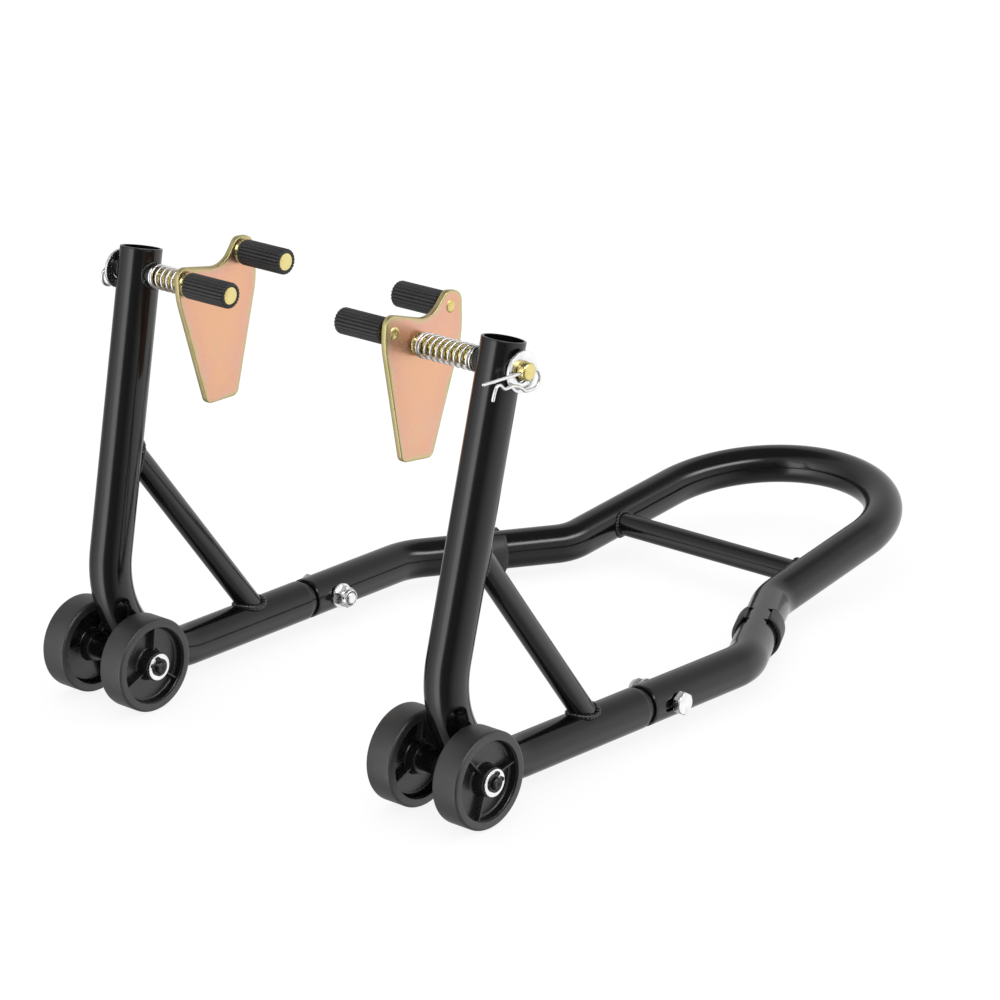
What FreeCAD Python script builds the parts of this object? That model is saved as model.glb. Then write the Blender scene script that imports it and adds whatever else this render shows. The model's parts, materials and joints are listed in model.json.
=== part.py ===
import FreeCAD, Part
import math
import os

# Front paddock stand, in millimetres: two uprights on wheel pairs, joined by a looped handle bar.
# Z is up, +Y runs from the wheels (front) to the handle (rear), +X is right.
# It is modelled with the origin on the floor under the axle line, midway between the wheel
# pairs, and moved by -ORIGIN_Y along Y on saving. Parts are built for the right side and
# mirrored; only the fork head angles, R-clip directions and outer wheel ribs differ.

os.makedirs("parts", exist_ok=True)

Vec = FreeCAD.Vector
X = Vec(1, 0, 0)
CENTRE = Vec(0, 0, 0)
ORIGIN_Y = 345.715       # axle line to the middle of the stand's length

# main tube
TUBE_R = 17.0
TUBE_WALL = 2.0
BORE_R = TUBE_R - TUBE_WALL
HEEL_BEND_R = 84.0       # upright to lower tube
S_OUTER_BEND_R = 56.0
S_INNER_BEND_R = 50.0
TOP = Vec(191.7, 52.1, 362.5)       # open top of the upright, on the centre line
HEEL = Vec(178.6, -20.8, 21.5)      # where upright and lower tube lines meet
S_OUTER = Vec(187.8, 348.5, 23.5)
S_INNER = Vec(112.6, 479.5, 22.5)
ARM_TILT = math.radians(8.46)       # rise of the handle arms
ARM_TOE_DEG = 2.49                  # arms closing towards the loop
LOOP_END = 236.0         # S_INNER to the end of the loop, along the slope
END_OVERRUN = 5.0        # bore past the tube ends

# joint between side tube and handle bar
JOINT_AT = 236.0         # heel to the end of the side tube
JOINT_GAP = 6.5          # visible gap between side tube and handle bar
SPIGOT_IN = 42.0
SPIGOT_OUT = 50.0
SPIGOT_WALL = 2.5
SPIGOT_PLAY = 0.08       # radial play in the handle bar

# joint bolt, washer and nut
BOLT_Y = 247.8
BOLT_R = 5.0
BOLT_HOLE_R = BOLT_R + 0.25
SLOT_L = 11.0            # slot from the bolt hole towards the front
BOLT_SEAT = TUBE_R + 0.35           # clear of the round, splayed tube
BOLT_WASHER_R = 10.5
BOLT_WASHER_T = 2.0
HEX_ACROSS = 17.0
HEAD_H = 6.4
HEAD_DOME_H = 1.6
HEAD_R = 11.8
NUT_L = 10.5
NUT_COLLAR_L = 3.0
BOLT_TIP = 1.0           # taper at the end of the shank

# pinched heel bend
FLAT_HALF = 11.5         # half thickness left in the pinched bend
PINCH_HALF = 5.5         # half width of the pinch floor
PINCH_DRAFT = 0.6        # widening of the pinch per mm of height
PINCH_H = 12.0
PINCH_TOP = (-5.0, 81.0) # y, z of the upper end of the pinch
PINCH_LOW = (1.0, 40.0)

# braces
BRACE_R = 10.0
BRACE_WALL = 1.8
BRACE_UP = 0.482         # share of the way from top to heel
BRACE_LOW = 173.8        # heel to the foot of the brace
BRACE_OVERRUN = 14.0     # extra length trimmed by the side tube
CROSS_AT = 53.5          # from S_INNER along the slope
CROSS_HALF = 130.0       # before trimming

# foot pads
PAD_L = 25.0
PAD_T = 3.6
PAD_FOOT_W = 20.0

# wheels
WHEEL_R = 38.5
AXLE_Z = WHEEL_R
WHEEL_W = 24.6
WHEEL_GAP = 21.2         # tube centre to the wheel's inner face
TREAD_IN_R = 33.6
TREAD_FILLET = 2.2
RECESS_R = 31.4
WEB_T = 8.6
HUB_R = 12.0
HUB_OUT = 2.6            # hub boss past the outer face
HUB_IN = 1.0
HUB_L = WHEEL_W + HUB_IN + HUB_OUT
BUSH_R = 7.0
RUN_CLEAR = 0.05         # radial running clearance on axles and rods
RIB_W = 2.4
RIB_SETBACK = 2.4        # ribs below the wheel faces
RIB_PHASE = {            # degrees from +Y towards +Z
    "outer_r": 10.0, "inner_r": 84.0, "outer_l": 50.0, "inner_l": 84.0,
}

# axles
AXLE_R = 5.0
AXLE_SLEEVE_R = 9.0      # sleeve under the heel bend
AXIAL_PLAY = 0.15
AXLE_WASHER_R = 10.9
AXLE_WASHER_T = 1.6
CIRCLIP_R = 7.2
CIRCLIP_T = 1.2
CIRCLIP_GAP_W = 3.6
GROOVE_R = 4.3
AXLE_WASHER_AT = WHEEL_GAP + WHEEL_W + HUB_OUT + AXIAL_PLAY
CIRCLIP_AT = AXLE_WASHER_AT + AXLE_WASHER_T + 0.05
AXLE_HALF = AXLE_WASHER_AT + AXLE_WASHER_T + CIRCLIP_T + 2.6
AXLE_TIP = 1.0           # taper at each end

# fork heads
ROD_AT = 0.9437          # share of the way from heel to top
ROD_R = 7.0
ROD_END = 30.2
ROD_TIP = 1.2
COLLAR_R = 8.6
COLLAR_L = 3.0
PIVOT_R = 9.3            # pivot bush
PIVOT_IN = 19.6
PIVOT_OUT = 20.4
PLATE_T = 5.0
PLATE_OUT_X = -79.5      # outboard face of the plate, from the tube centre
PLATE_IN_X = PLATE_OUT_X - PLATE_T
PIN_R = 7.2
PIN_L = 47.7
PIN_SPIGOT_R = 5.0
PIN_FRONT = (-28.3, 11.2)           # y, z from the rod
PIN_REAR = (32.3, 24.8)
GRIP_R = 10.2
GRIP_GAP = 3.2           # plate to grip
GRIP_OVERHANG = 0.3      # grip past the free end of the pin
FLUTES = 22
FLUTE_R = 0.85
FLUTE_AT = GRIP_R + 0.35 # flute centres
SPRING_R = 9.0           # wire centre line
SPRING_WIRE = 2.2
SPRING_TURNS = 9.5
SPRING_STEPS = 14        # straight pieces per turn of wire
WASHER_AT = 20.7
WASHER_R = 15.8
WASHER_T = 2.4
WASHER_BORE = 8.3        # loose on the rod, so the washer hangs low
WASHER_DROP = 1.25
CLIP_AT = 26.6
CLIP_TILT = math.radians(5.0)
CLIP_WIRE = 2.6
CLIP_LOOP = 7.4          # loop radius of the R-clip
CLIP_START = 7.0         # end of the straight leg past the rod's centre
CLIP_LEG = 47.0          # other end of the straight leg
# waved leg: distance along and across the straight leg, from the rod's centre
CLIP_WAVE = [
    (-1.0, -14.6), (-5.0, -12.0), (-9.5, -9.5), (-14.5, -8.0), (-20.0, -8.2),
    (-24.5, -7.9), (-29.0, -4.3), (-32.6, -4.6), (-35.0, -9.0), (-36.6, -14.0),
]
# corners of the fork plate: y, z, corner radius
PLATE_OUTLINE = [
    (-37.2, 26.1, 8.0), (12.0, 17.1, 30.0), (27.0, 37.4, 7.0), (43.6, 35.9, 9.0),
    (47.3, 2.0, 60.0), (22.1, -90.1, 6.5), (-11.0, -90.1, 6.5), (-37.4, 2.0, 60.0),
]
# side: resting angle about the rod in degrees, Y direction of the R-clip before mirroring
HEADS = {"r": (-5.5, 1.0), "l": (0.9, -1.0)}


# ---- helpers ----
def unit(vector):
    copy = Vec(vector)
    copy.normalize()
    return copy


def cyl(start, axis, radius, length):
    return Part.makeCylinder(radius, length, start, axis)


def ring(start, axis, outer, inner, length):
    bore = cyl(start - unit(axis) * 1.0, axis, inner, length + 2.0)
    return cyl(start, axis, outer, length).cut(bore)


def slab(start, side_a, side_b, depth):
    """Parallelogram on two side vectors, extruded by the vector depth."""
    points = [start, start + side_a, start + side_a + side_b, start + side_b, start]
    return Part.Face(Part.makePolygon(points)).extrude(depth)


def circle_wire(centre, axis, radius):
    return Part.Wire(Part.Circle(centre, axis, radius).toShape())


def arc_solid(start, axis, centre, normal, angle, radius):
    return Part.Face(circle_wire(start, axis, radius)).revolve(centre, normal, angle)


def corner(before, at, after, radius):
    """Fillet of a corner: tangent points, centre, normal, angle in degrees."""
    back, ahead = unit(before - at), unit(after - at)
    angle = back.getAngle(ahead)
    tangent = radius / math.tan(angle / 2)
    centre = at + unit(back + ahead) * (radius / math.sin(angle / 2))
    normal = unit((at - before).cross(after - at))
    turn = 180.0 - math.degrees(angle)
    return at + back * tangent, at + ahead * tangent, centre, normal, turn


def bent(points, bend_radii, radius):
    """Pieces of a round bar through the points, with a bend at each inner point."""
    pieces = []
    here = points[0]
    for k, bend_r in enumerate(bend_radii):
        start, end, centre, normal, turn = corner(*points[k:k + 3], bend_r)
        along = start - here
        pieces.append(cyl(here, along, radius, along.Length))
        pieces.append(arc_solid(start, along, centre, normal, turn, radius))
        here = end
    along = points[-1] - here
    pieces.append(cyl(here, along, radius, along.Length))
    return pieces


def one(shape):
    if shape.ShapeType != "Solid" and len(shape.Solids) == 1:
        return shape.Solids[0]
    return shape


def joined(pieces):
    return one(pieces[0].multiFuse(pieces[1:]).removeSplitter())


def largest(shape):
    return max(shape.Solids, key=lambda solid: solid.Volume)


def flip(shape):
    return shape.mirror(CENTRE, X)


def save(name, shape):
    shape = one(shape).copy()
    shape.translate(Vec(0, -ORIGIN_Y, 0))
    shape.exportStep("parts/%s.step" % name)


def both(name, shape):
    save(name + "_r", shape)
    save(name + "_l", flip(shape))


def hexagon(start, height):
    """Hexagonal prism along +X."""
    radius = HEX_ACROSS / 2 / math.cos(math.pi / 6)
    points = []
    for degrees in range(30, 391, 60):
        a = math.radians(degrees)
        points.append(start + Vec(0, radius * math.cos(a), radius * math.sin(a)))
    return Part.Face(Part.makePolygon(points)).extrude(X * height)


# ---- lines and places of the right side ----
up = unit(TOP - HEEL)
low = unit(S_OUTER - HEEL)
joint = HEEL + low * JOINT_AT
rod_mid = HEEL + (TOP - HEEL) * ROD_AT
bolt_mid = HEEL + low * ((BOLT_Y - HEEL.y) / low.y)
axle_x = HEEL.x + (AXLE_Z - HEEL.z) * (TOP.x - HEEL.x) / (TOP.z - HEEL.z)
axle_mid = Vec(axle_x, 0, AXLE_Z)
slope = Vec(0, math.cos(ARM_TILT), math.sin(ARM_TILT))      # up the handle, on the mid plane
slope_foot = Vec(0, S_INNER.y, S_INNER.z)


# ---- side tubes and braces ----
def stadium(side, half, distance):
    """Round-ended outline round the pinch line, square to side."""
    a, b = (Vec(axle_x, y, z) + side * distance for y, z in (PINCH_TOP, PINCH_LOW))
    along = unit(a - b)
    across = unit(side.cross(along)) * half
    along = along * half
    return Part.Wire([
        Part.Arc(a + across, a + along, a - across).toShape(),
        Part.makeLine(a - across, b - across),
        Part.Arc(b - across, b - along, b + across).toShape(),
        Part.makeLine(b + across, a + across),
    ])


def pinched(tube, deeper, wider):
    """Press a narrow tapered die into the bend from either side."""
    for side in (X, X * -1):
        half, floor = PINCH_HALF + wider, FLAT_HALF - deeper
        bottom = stadium(side, half, floor)
        top = stadium(side, half + PINCH_H * PINCH_DRAFT, floor + PINCH_H)
        tube = largest(tube.cut(Part.makeLoft([bottom, top], True, True)))
    return tube


def side_tube():
    path = [TOP + up * END_OVERRUN, HEEL, joint + low * END_OVERRUN]
    bore = joined(bent(path, [HEEL_BEND_R], BORE_R))
    bore = pinched(bore, TUBE_WALL, TUBE_WALL * 0.75)
    return side_outer.cut(bore).cut(cyl(rod_mid - X * 40, X, PIVOT_R, 80))


def brace_tube():
    """From the back of the upright to the top of the lower tube."""
    rear = unit(Vec(0, up.z, -up.y))
    upper = TOP + (HEEL - TOP) * BRACE_UP + rear * TUBE_R
    lower = HEEL + low * BRACE_LOW + Vec(0, 0, TUBE_R)
    axis = unit(lower - upper)
    length = (lower - upper).Length + 2 * BRACE_OVERRUN
    start = upper - axis * BRACE_OVERRUN
    return largest(ring(start, axis, BRACE_R, BRACE_R - BRACE_WALL, length).cut(side_solid))


side_solid = joined(bent([TOP, HEEL, joint], [HEEL_BEND_R], TUBE_R))
side_outer = pinched(side_solid, 0.0, 0.0)
both("side_tube", side_tube())
both("brace_tube", brace_tube())


# ---- handle bar, one bent tube from joint to joint ----
def handle(radius, overrun):
    toe = math.radians(ARM_TOE_DEG)
    arm = X * -math.sin(toe) + slope * math.cos(toe)
    # the loop is tangent to both arms and ends at LOOP_END
    loop_at = (LOOP_END - S_INNER.x * math.cos(toe)) / (1 - math.sin(toe))
    loop_r = LOOP_END - loop_at
    loop_mid = slope_foot + slope * loop_at
    arm_end = loop_mid + X * (loop_r * math.cos(toe)) + slope * (loop_r * math.sin(toe))
    start = joint + low * (JOINT_GAP - overrun)
    right = bent([start, S_OUTER, S_INNER, arm_end], [S_OUTER_BEND_R, S_INNER_BEND_R], radius)
    left = [flip(piece) for piece in right]
    turn = 180.0 - 2 * ARM_TOE_DEG
    loop = arc_solid(arm_end, arm, loop_mid, X.cross(slope), turn, radius)
    return joined(right + [loop] + left)


def bolt_holes():
    """Cross hole on each side, with a slot through the outboard wall."""
    holes = []
    for s in (1, -1):
        mid = Vec(bolt_mid.x * s, bolt_mid.y, bolt_mid.z)
        holes.append(cyl(mid - X * 30, X, BOLT_HOLE_R, 60))
        slot_end = mid - Vec(0, SLOT_L, 0)
        box_x = mid.x if s > 0 else mid.x - 30
        box_at = Vec(box_x, slot_end.y, mid.z - BOLT_HOLE_R)
        box = Part.makeBox(30, SLOT_L, 2 * BOLT_HOLE_R, box_at)
        holes.append(cyl(slot_end, X * s, BOLT_HOLE_R, 30).fuse(box))
    return holes


def cross_tube():
    """Straight tube between the arms, trimmed to fit them."""
    start = slope_foot + slope * CROSS_AT - X * CROSS_HALF
    tube = ring(start, X, BRACE_R, BRACE_R - BRACE_WALL, 2 * CROSS_HALF).cut(handle_solid)
    return min(tube.Solids, key=lambda solid: abs(solid.CenterOfMass.x))


def joint_spigot():
    length = SPIGOT_IN + JOINT_GAP + SPIGOT_OUT
    spigot = ring(joint - low * SPIGOT_IN, low, BORE_R, BORE_R - SPIGOT_WALL, length)
    # slimmer beyond the side tube, to enter the handle bar with play
    slim_l = SPIGOT_OUT + JOINT_GAP + 1
    slim = ring(joint + low * 0.5, low, BORE_R + 1, BORE_R - SPIGOT_PLAY, slim_l)
    return spigot.cut(slim).cut(cyl(bolt_mid - X * 30, X, BOLT_HOLE_R, 60))


handle_solid = handle(TUBE_R, 0.0)
save("handle_bar", handle_solid.cut(handle(BORE_R, END_OVERRUN)).cut(bolt_holes()))
save("cross_tube", cross_tube())
both("joint_spigot", joint_spigot())


# ---- joint bolts: head outboard, washer and nut inboard ----
def joint_bolt():
    seat = bolt_mid + X * BOLT_SEAT
    rim_h = HEAD_H - HEAD_DOME_H
    dome = Part.makeCone(HEAD_R, 7.9, 2.4, seat + X * rim_h, X).common(cyl(seat, X, 30, HEAD_H))
    head = hexagon(seat, HEAD_H).common(cyl(seat, X, HEAD_R, rim_h).fuse(dome))
    tail = BOLT_SEAT + BOLT_WASHER_T + NUT_L + 0.2
    shank = cyl(bolt_mid - X * tail, X, BOLT_R, tail + BOLT_SEAT + 1.0)
    tip_at = bolt_mid - X * (tail + BOLT_TIP)
    shank = Part.makeCone(BOLT_R - BOLT_TIP, BOLT_R, BOLT_TIP, tip_at, X).fuse(shank)
    return head.fuse(shank).removeSplitter()


def joint_nut(start):
    """Hexagon with a round collar on its inboard end."""
    nut = hexagon(start + X * NUT_COLLAR_L, NUT_L - NUT_COLLAR_L)
    nut = nut.common(Part.makeCone(8.1, 13.0, NUT_L, start, X))
    nut = nut.fuse(cyl(start, X, 7.7, NUT_COLLAR_L + 0.6))
    return nut.cut(cyl(start - X, X, BOLT_R, NUT_L + 2)).removeSplitter()


washer_at = bolt_mid - X * (BOLT_SEAT + BOLT_WASHER_T)
both("joint_bolt", joint_bolt())
both("joint_washer", ring(washer_at, X, BOLT_WASHER_R, BOLT_R, BOLT_WASHER_T))
both("joint_nut", joint_nut(washer_at - X * NUT_L))


# ---- foot pads ----
def foot_pad():
    """Open-topped sleeve under the S, flat on the floor."""
    along = unit(S_INNER - S_OUTER)
    mid = S_OUTER + (S_INNER - S_OUTER) * 0.5
    start = mid - along * PAD_L / 2
    across = unit(along.cross(Vec(0, 0, 1)))
    upward = unit(across.cross(along))

    def block(width, bottom, top, length, at):
        """Box along the S, between two heights relative to the tube."""
        edge = at - across * (width / 2) + upward * bottom
        return slab(edge, across * width, upward * (top - bottom), along * length)

    outer_r = TUBE_R + PAD_T
    sleeve = ring(start, along, outer_r, TUBE_R, PAD_L)
    opening = block(2 * outer_r * 0.55, TUBE_R * 0.42, 30.0, PAD_L + 2, start - along)
    foot = block(PAD_FOOT_W, -26.0, -6.0, PAD_L, start)
    bore = cyl(start - along * 2, along, TUBE_R, PAD_L + 4)
    pad = sleeve.fuse(foot).cut(opening).cut(bore)
    below_floor = Part.makeBox(200, 200, 40, Vec(mid.x - 100, mid.y - 100, -40))
    return largest(pad.cut(below_floor).cut(handle_solid).removeSplitter())


both("foot_pad", foot_pad())


# ---- axles ----
def axle():
    """Bar with a circlip groove and a tapered tip at each end."""
    bar = cyl(axle_mid - X * AXLE_HALF, X, AXLE_R, 2 * AXLE_HALF)
    for side in (X, X * -1):
        groove_at = axle_mid + side * CIRCLIP_AT
        bar = bar.cut(ring(groove_at, side, AXLE_R + 1, GROOVE_R, CIRCLIP_T))
        tip_at = axle_mid + side * (AXLE_HALF - AXLE_TIP)
        tip = Part.makeCone(AXLE_R, AXLE_R - 0.9, AXLE_TIP, tip_at, side)
        bar = bar.cut(cyl(tip_at, side, AXLE_R + 2, AXLE_TIP + 1).cut(tip))
    return bar.removeSplitter()


def circlip(side, gap_degrees):
    """Open ring with a drilled lug on each side of the gap."""
    centre = axle_mid + side * CIRCLIP_AT
    a = math.radians(gap_degrees)
    gap = Vec(0, math.cos(a), math.sin(a))
    across = Vec(0, -math.sin(a), math.cos(a))
    gap_at = centre - side * 0.5 + gap * 1.5 - across * (CIRCLIP_GAP_W / 2)
    opening = slab(gap_at, across * CIRCLIP_GAP_W, gap * 8, side * (CIRCLIP_T + 1.0))
    clip = ring(centre, side, CIRCLIP_R, GROOVE_R, CIRCLIP_T).cut(opening)
    for s in (1, -1):
        lug_at = centre + gap * 6.4 + across * (s * 3.6)
        clip = clip.fuse(cyl(lug_at, side, 1.9, CIRCLIP_T))
        clip = clip.cut(cyl(lug_at - side, side, 0.7, CIRCLIP_T + 2))
    return largest(clip.cut(opening).removeSplitter())


def axle_washer(side):
    start = axle_mid + side * AXLE_WASHER_AT
    return ring(start, side, AXLE_WASHER_R, AXLE_R, AXLE_WASHER_T)


def axle_sleeve():
    half = WHEEL_GAP - HUB_IN - AXIAL_PLAY
    sleeve = ring(axle_mid - X * half, X, AXLE_SLEEVE_R, AXLE_R, 2 * half)
    return largest(sleeve.cut(side_outer))


both("axle", axle())
both("axle_washers", Part.makeCompound([axle_washer(side) for side in (X, X * -1)]))
both("circlips", Part.makeCompound([circlip(X, 40), circlip(X * -1, 130)]))
both("axle_sleeve", axle_sleeve())


# ---- wheels: outer face towards +X, origin at the inner face ----
def tyre():
    shape = ring(CENTRE, X, WHEEL_R, TREAD_IN_R, WHEEL_W)
    rims = [e for e in shape.Edges if e.Curve.TypeId == "Part::GeomCircle"
            and abs(e.Curve.Radius - WHEEL_R) < 1e-6]
    return shape.makeFillet(TREAD_FILLET, rims)


def wheel_hub(phase):
    """Rim, web and hub, with three ribs on each face of the web."""
    rim = ring(CENTRE, X, TREAD_IN_R, RECESS_R, WHEEL_W - 0.6)
    web_x = (WHEEL_W - WEB_T) / 2
    web = cyl(X * web_x, X, RECESS_R, WEB_T)
    body = rim.fuse([web, cyl(X * -HUB_IN, X, HUB_R, HUB_L)])
    rib_r = HUB_R - 1.5
    rib_l = RECESS_R + 0.6 - rib_r
    outer_span = (web_x + WEB_T - 1.0, WHEEL_W - RIB_SETBACK)
    inner_span = (RIB_SETBACK, web_x + 1.0)
    ribs = []
    for k in range(3):
        a = math.radians(phase + 120 * k)
        along = Vec(0, math.cos(a), math.sin(a))
        across = Vec(0, -math.sin(a), math.cos(a))
        for x0, x1 in (outer_span, inner_span):
            start = X * x0 + along * rib_r - across * (RIB_W / 2)
            ribs.append(slab(start, along * rib_l, across * RIB_W, X * (x1 - x0)))
    bore = cyl(X * -5, X, BUSH_R, WHEEL_W + 12)
    return body.fuse(ribs).cut(bore).removeSplitter()


def wheel_bush():
    return ring(X * -HUB_IN, X, BUSH_R, AXLE_R + RUN_CLEAR, HUB_L)


for key, phase in RIB_PHASE.items():
    outer = key.startswith("outer")
    wheel = {"tyre": tyre(), "wheel_hub": wheel_hub(phase), "wheel_bush": wheel_bush()}
    for name, shape in wheel.items():
        if not outer:
            shape = flip(shape)
        shape.translate(axle_mid + X * (WHEEL_GAP if outer else -WHEEL_GAP))
        save("%s_%s" % (name, key), flip(shape) if key.endswith("l") else shape)

# ---- pivot bushes in the tops of the uprights ----
pivot_l = PIVOT_IN + PIVOT_OUT
both("pivot_bush", ring(rod_mid - X * PIVOT_IN, X, PIVOT_R, ROD_R + RUN_CLEAR, pivot_l))


# ---- fork heads: rod along X through the origin, outboard is +X ----
def rounded(points):
    """Closed outline from (y, z, radius) corners, in the plane x = 0."""
    corners = [Vec(0, y, z) for y, z, _ in points]
    edges, first, last = [], None, None
    for k, (_, _, radius) in enumerate(points):
        at = corners[k]
        start, end, centre, _, _ = corner(corners[k - 1], at, corners[(k + 1) % len(corners)], radius)
        if last is None:
            first = start
        else:
            edges.append(Part.makeLine(last, start))
        edges.append(Part.Arc(start, centre + unit(at - centre) * radius, end).toShape())
        last = end
    edges.append(Part.makeLine(last, first))
    return Part.Wire(Part.__sortEdges__(edges))


def fork_plate():
    plate = Part.Face(rounded(PLATE_OUTLINE)).extrude(X * PLATE_T)
    plate.translate(X * PLATE_IN_X)
    for y, z, radius in ((0, 0, ROD_R), (*PIN_FRONT, PIN_SPIGOT_R), (*PIN_REAR, PIN_SPIGOT_R)):
        plate = plate.cut(cyl(Vec(PLATE_IN_X - 1, y, z), X, radius, PLATE_T + 2))
    return plate


def pivot_rod(clip_along):
    """Rod through the plate, with a collar and a cross hole for the R-clip."""
    start_x = PLATE_IN_X - 0.6
    tip_x = ROD_END - ROD_TIP
    rod = cyl(X * start_x, X, ROD_R, tip_x - start_x)
    rod = rod.fuse(Part.makeCone(ROD_R, ROD_R - ROD_TIP, ROD_TIP, X * tip_x, X))
    rod = rod.fuse(ring(X * PLATE_OUT_X, X, COLLAR_R, ROD_R, COLLAR_L))
    hole = cyl(X * CLIP_AT - clip_along * 12, clip_along, CLIP_WIRE / 2 + 0.1, 24)
    return rod.cut(hole).removeSplitter()


def fork_pin(y, z):
    """Pin with a shouldered spigot riveted in the plate."""
    start = Vec(PLATE_IN_X - PIN_L, y, z)
    pin = cyl(start, X, PIN_R, PIN_L).fuse(cyl(start, X, PIN_SPIGOT_R, PIN_L + PLATE_T))
    rivet = Part.makeCone(PIN_SPIGOT_R, 3.4, 0.9, Vec(PLATE_OUT_X, y, z), X)
    return one(pin.fuse(rivet).removeSplitter())


def grip(y, z):
    start = Vec(PLATE_IN_X - PIN_L - GRIP_OVERHANG, y, z)
    length = PIN_L + GRIP_OVERHANG - GRIP_GAP
    flutes = []
    for k in range(FLUTES):
        a = 2 * math.pi * k / FLUTES
        at = start + Vec(-1, FLUTE_AT * math.cos(a), FLUTE_AT * math.sin(a))
        flutes.append(cyl(at, X, FLUTE_R, length + 2))
    return ring(start, X, GRIP_R, PIN_R, length).cut(flutes)


def rod_spring():
    """Coil between the collar and the pivot bush."""
    end_gap = SPRING_WIRE / 2 + 0.05
    start_x = PLATE_OUT_X + COLLAR_L + end_gap
    span = -PIVOT_IN - end_gap - start_x
    count = int(SPRING_TURNS * SPRING_STEPS)
    line = []
    for k in range(count + 1):
        a = 2 * math.pi * k / SPRING_STEPS
        x = start_x + span * k / count
        line.append(Vec(x, SPRING_R * math.cos(a), SPRING_R * math.sin(a)))
    profile = circle_wire(line[0], line[1] - line[0], SPRING_WIRE / 2)
    return Part.makePolygon(line).makePipeShell([profile], True, False, 1)


def r_clip(along, across):
    """Straight leg through the rod, loop, and a waved leg under the rod."""
    def point(u, w):
        return X * CLIP_AT + along * u + across * w

    leg_end = point(-CLIP_LEG, 0)
    loop_top = point(CLIP_START, 0)
    loop_side = point(CLIP_START + CLIP_LOOP, -CLIP_LOOP)
    loop_low = point(CLIP_START, -2 * CLIP_LOOP)
    leg = Part.makeLine(leg_end, loop_top)
    loop = Part.Arc(loop_top, loop_side, loop_low).toShape()
    wave = Part.BSplineCurve()
    wave_points = [loop_low] + [point(u, w) for u, w in CLIP_WAVE]
    wave.interpolate(wave_points, InitialTangent=along * -1.0)
    profile = circle_wire(leg_end, along, CLIP_WIRE / 2)
    return Part.Wire([leg, loop, wave.toShape()]).makePipeShell([profile], True, False)


def head_parts(clip_way):
    along = Vec(0, math.cos(CLIP_TILT) * clip_way, math.sin(CLIP_TILT))
    across = Vec(0, -math.sin(CLIP_TILT) * clip_way, math.cos(CLIP_TILT))
    washer_start = Vec(WASHER_AT, 0, -WASHER_DROP)
    return {
        "fork_plate": fork_plate(),
        "pivot_rod": pivot_rod(along),
        "fork_pins": Part.makeCompound([fork_pin(*PIN_FRONT), fork_pin(*PIN_REAR)]),
        "grip_front": grip(*PIN_FRONT),
        "grip_rear": grip(*PIN_REAR),
        "rod_spring": rod_spring(),
        "rod_washer": ring(washer_start, X, WASHER_R, WASHER_BORE, WASHER_T),
        "r_clip": r_clip(along, across),
    }


for hand, (hang, clip_way) in HEADS.items():
    for name, shape in head_parts(clip_way).items():
        # the loose washer hangs straight down whatever the angle of the head
        if name != "rod_washer":
            shape.rotate(CENTRE, X, hang)
        shape.translate(rod_mid)
        save(name + "_" + hand, shape if hand == "r" else flip(shape))
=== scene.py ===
"""Wheeled tubular stand: two side tubes, a looped handle bar, four wheels and two fork heads.

+X is the stand's right, -Y its front (the uprights), +Y its rear (the handle loop), +Z up,
with the floor at z = 0.  Sizes are in millimetres; Build.make turns them into metres.
Paired pieces are drawn for the right side and mirrored in X for the left.
"""
import json
import math

import bmesh
import bpy
import numpy as np
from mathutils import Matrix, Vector


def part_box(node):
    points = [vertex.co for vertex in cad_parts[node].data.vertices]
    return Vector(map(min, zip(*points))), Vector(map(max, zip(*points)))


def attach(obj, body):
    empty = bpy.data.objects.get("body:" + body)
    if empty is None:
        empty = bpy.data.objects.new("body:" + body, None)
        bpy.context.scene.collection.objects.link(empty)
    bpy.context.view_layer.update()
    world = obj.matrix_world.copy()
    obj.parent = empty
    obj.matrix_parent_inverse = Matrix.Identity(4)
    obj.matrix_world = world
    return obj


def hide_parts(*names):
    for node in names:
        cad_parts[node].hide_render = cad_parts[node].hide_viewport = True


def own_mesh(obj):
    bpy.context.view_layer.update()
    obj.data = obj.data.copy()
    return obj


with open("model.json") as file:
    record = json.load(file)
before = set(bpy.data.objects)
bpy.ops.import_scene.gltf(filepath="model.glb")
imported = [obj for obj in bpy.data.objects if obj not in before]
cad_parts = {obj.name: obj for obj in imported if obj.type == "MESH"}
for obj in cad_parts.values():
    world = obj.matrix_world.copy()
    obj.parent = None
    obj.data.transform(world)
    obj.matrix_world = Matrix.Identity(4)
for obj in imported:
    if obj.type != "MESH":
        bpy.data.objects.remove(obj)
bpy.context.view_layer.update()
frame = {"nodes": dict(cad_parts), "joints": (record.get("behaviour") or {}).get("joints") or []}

JOINTS = {joint["name"]: joint for joint in frame["joints"]}

# ---------------------------------------------------------------------------
# driving dimensions, in millimetres
# ---------------------------------------------------------------------------
SIDES = (("r", False), ("l", True))     # name ending, mirrored in X
MIRROR = np.array([-1.0, 1.0, 1.0])
X_AXIS = np.array([1.0, 0.0, 0.0])
NO_X = np.array([0, 1, 1])
DATUM_Y = 345.715                       # the stand's y = 0, on the scale of the points below


def from_datum(x, y, z):
    return np.array([x, y - DATUM_Y, z])


# main tubes: corners of the centre lines
TUBE_R, WALL = 17.0, 2.0
BORE_R = TUBE_R - WALL
UPRIGHT_TOP = from_datum(191.7, 52.1, 362.5)
HEEL = from_datum(178.6, -20.8, 21.5)
SWEEP_FRONT = from_datum(187.8, 348.5, 23.5)
SWEEP_REAR = from_datum(112.6, 479.5, 22.5)
HEEL_BEND_R, FRONT_BEND_R, REAR_BEND_R = 84.0, 56.0, 50.0
ARM_TILT, ARM_TOE = math.radians(8.46), math.radians(2.49)
LOOP_END = 236.0                        # from SWEEP_REAR to the loop's far centre line
JOINT_AT, JOINT_GAP = 236.0, 6.5        # from HEEL along the lower leg

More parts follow.
